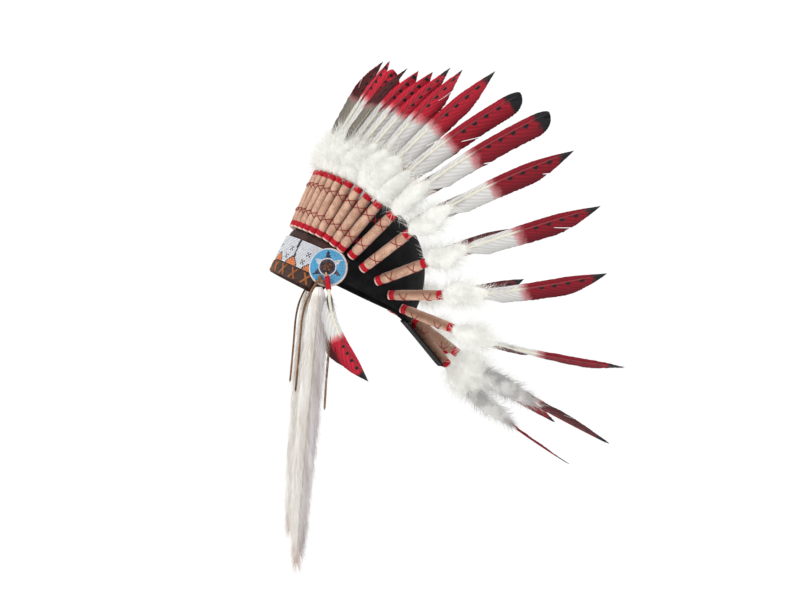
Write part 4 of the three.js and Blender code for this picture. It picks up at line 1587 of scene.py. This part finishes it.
for label, side in sides.items():
    points, faces, flow, back_half, down_share = fur_strap()
    strap = add_piece(
        f"fur_strip_{label}", points, faces, [white_fur], side, tipped=False,
        attributes={"back_half": back_half, "down_share": down_share},
    )
    store_flow(strap, flow, side, tipped=False)
    run_tree(
        strap, strands_on_surface, Density=330000.0, Strand=fur_strand, Shortest=0.5, Longest=1.2,
        Loose=0.2, Seed=70 + side, Material=white_fur,
    )
    finish_piece(strap, "white_fur", f"fur_drop_{label}")
print("fur made,", len(strap.data.polygons), "faces in one")

# %% [markdown]
# ## Drop feathers
#
# A small feather hangs over each rosette. Red thread binds its quill, and a bare tan tip lies on the
# rosette. The vane is white, then pink and red with a black tip like the rest.

# %% Drop feathers
drop_length = 128 * mm
drop_width = 22 * mm
drop_binding_length = 17 * mm
drop_binding_turns = 16
under_drop_binding = 2.9 * mm
drop_binding_ridge = 0.4 * mm
drop_quill = 3.2 * mm
rosette_place = tilt @ round_head(rosette_turn, rosette_level, rosette_outer)
quill_top = rosette_place + Vector((drop_quill / 2 + gap, -2 * mm, -button_diameter / 2 - 1 * mm))
binding_top = quill_top + Vector((4, 1, -5)) * mm
binding_end = quill_top + Vector((11 * mm, 3 * mm, -5 * mm - drop_binding_length))


class DropQuill:
    """A cubic curve from the end of the binding to the tip."""

    length = drop_length

    def __init__(self):
        bends = [(0, 0, 0), (0.1, 0, -0.3), (0.11, 0.1, -0.5), (0.1, 0.38, -0.9)]
        self.ends = [binding_end + Vector(bend) * drop_length for bend in bends]

    def at(self, t):
        a, b, c, d = self.ends
        return a * (1 - t) ** 3 + b * 3 * t * (1 - t) ** 2 + c * 3 * t * t * (1 - t) + d * t ** 3

    def along(self, t):
        step = 0.01
        return (self.at(min(1.0, t + step)) - self.at(max(0.0, t - step))).normalized()


def drop_facing(quill, t):
    along = quill.along(t)
    out = Vector((1, -0.15, 0))
    return (out - along * out.dot(along)).normalized()


tan_quill = nap_finish("tan_quill", (0.42, 0.24, 0.12, 1), (0.62, 0.4, 0.22, 1), 300, 0.2, 0)
for label, side in sides.items():
    quill = DropQuill()
    make_feather(
        f"drop_{label}", quill, lambda t, q=quill: drop_facing(q, t), 0.15, side,
        seed=61, node=f"drop_feather_{label}", finishes=[vane_front, vane_back],
        outline=Outline(start=0.03), width=drop_width, thick=4.4 * mm, tipped=False, dye=0.62,
    )
    line, _ = smooth_line([quill_top, binding_top, binding_top.lerp(binding_end, 0.5), binding_end], 16)
    tip = tube(line, [drop_quill / 2 * mix(0.8, 1.2, i / 16) for i in range(17)], 10)
    bare = add_piece(f"drop_quill_{label}", *tip, [tan_quill], side, tipped=False)
    finish_piece(bare, "feather", f"drop_feather_{label}")
    bound = binding_end - binding_top
    along = bound.normalized()
    across = along.cross(Vector((0, 1, 0))).normalized()
    rows = thread_rows(0, bound.length, drop_binding_turns, under_drop_binding, drop_binding_ridge)
    turns = ring_rows(binding_top, along, across, rows, 14)
    finish_piece(add_piece(f"drop_binding_{label}", *turns, [red_thread], side, tipped=False), "feather")
    out = drop_facing(quill, 0)
    core = plume_core(quill, along.cross(out), out, 4 * mm, 34 * mm, 5 * mm, 2 * mm, 3)
    barring = add_piece(f"drop_down_{label}", *core[:2], [dark_down], side, tipped=False)
    store_flow(barring, core[2], side, tipped=False)
    run_tree(
        barring, strands_on_surface, Material=dark_down, Density=120000.0, Strand=tuft_strand,
        Shortest=0.4, Longest=0.9, Loose=0.4, Seed=200 + side,
    )
    finish_piece(barring, "feather", f"drop_feather_{label}")
print("drop feathers made")

# %% [markdown]
# ## Floor and light
#
# The object hangs in its worn form above a plain pale floor. A pale world fills every side, and two
# large soft lamps, one high at the front left and one weaker behind, give the shapes a soft shade side.

# %% Floor, world and lamps
floor_level = cad_box[0][2] - 60 * mm
floor_mesh = bpy.data.meshes.new("floor")
reach = 6.0
floor_mesh.from_pydata(
    [(-reach, -reach, floor_level), (reach, -reach, floor_level), (reach, reach, floor_level),
     (-reach, reach, floor_level)], [], [(0, 1, 2, 3)],
)
floor = in_scene("floor", floor_mesh)
pale = Finish("pale_floor", roughness=0.9)
pale.colour((0.97, 0.97, 0.97, 1))
floor_mesh.materials.append(pale.material)

world = bpy.data.worlds.new("pale_room")
world.use_nodes = True
world.node_tree.nodes["Background"].inputs["Color"].default_value = (1, 1, 1, 1)
world.node_tree.nodes["Background"].inputs["Strength"].default_value = 1.03
bpy.context.scene.world = world


def add_lamp(name, place, power, size):
    lamp_data = bpy.data.lights.new(name, "AREA")
    lamp_data.energy = power
    lamp_data.size = size
    lamp = in_scene(name, lamp_data)
    lamp.location = place
    lamp.rotation_euler = (Vector(place) - view_target).to_track_quat("Z", "Y").to_euler()


add_lamp("key_lamp", (1.0, -1.5, 1.9), 12, 0.9)
add_lamp("fill_lamp", (-0.6, 1.4, 1.2), 3, 1.2)
bpy.context.scene.view_settings.view_transform = "Standard"
print("floor at", round(floor_level / mm), "mm")
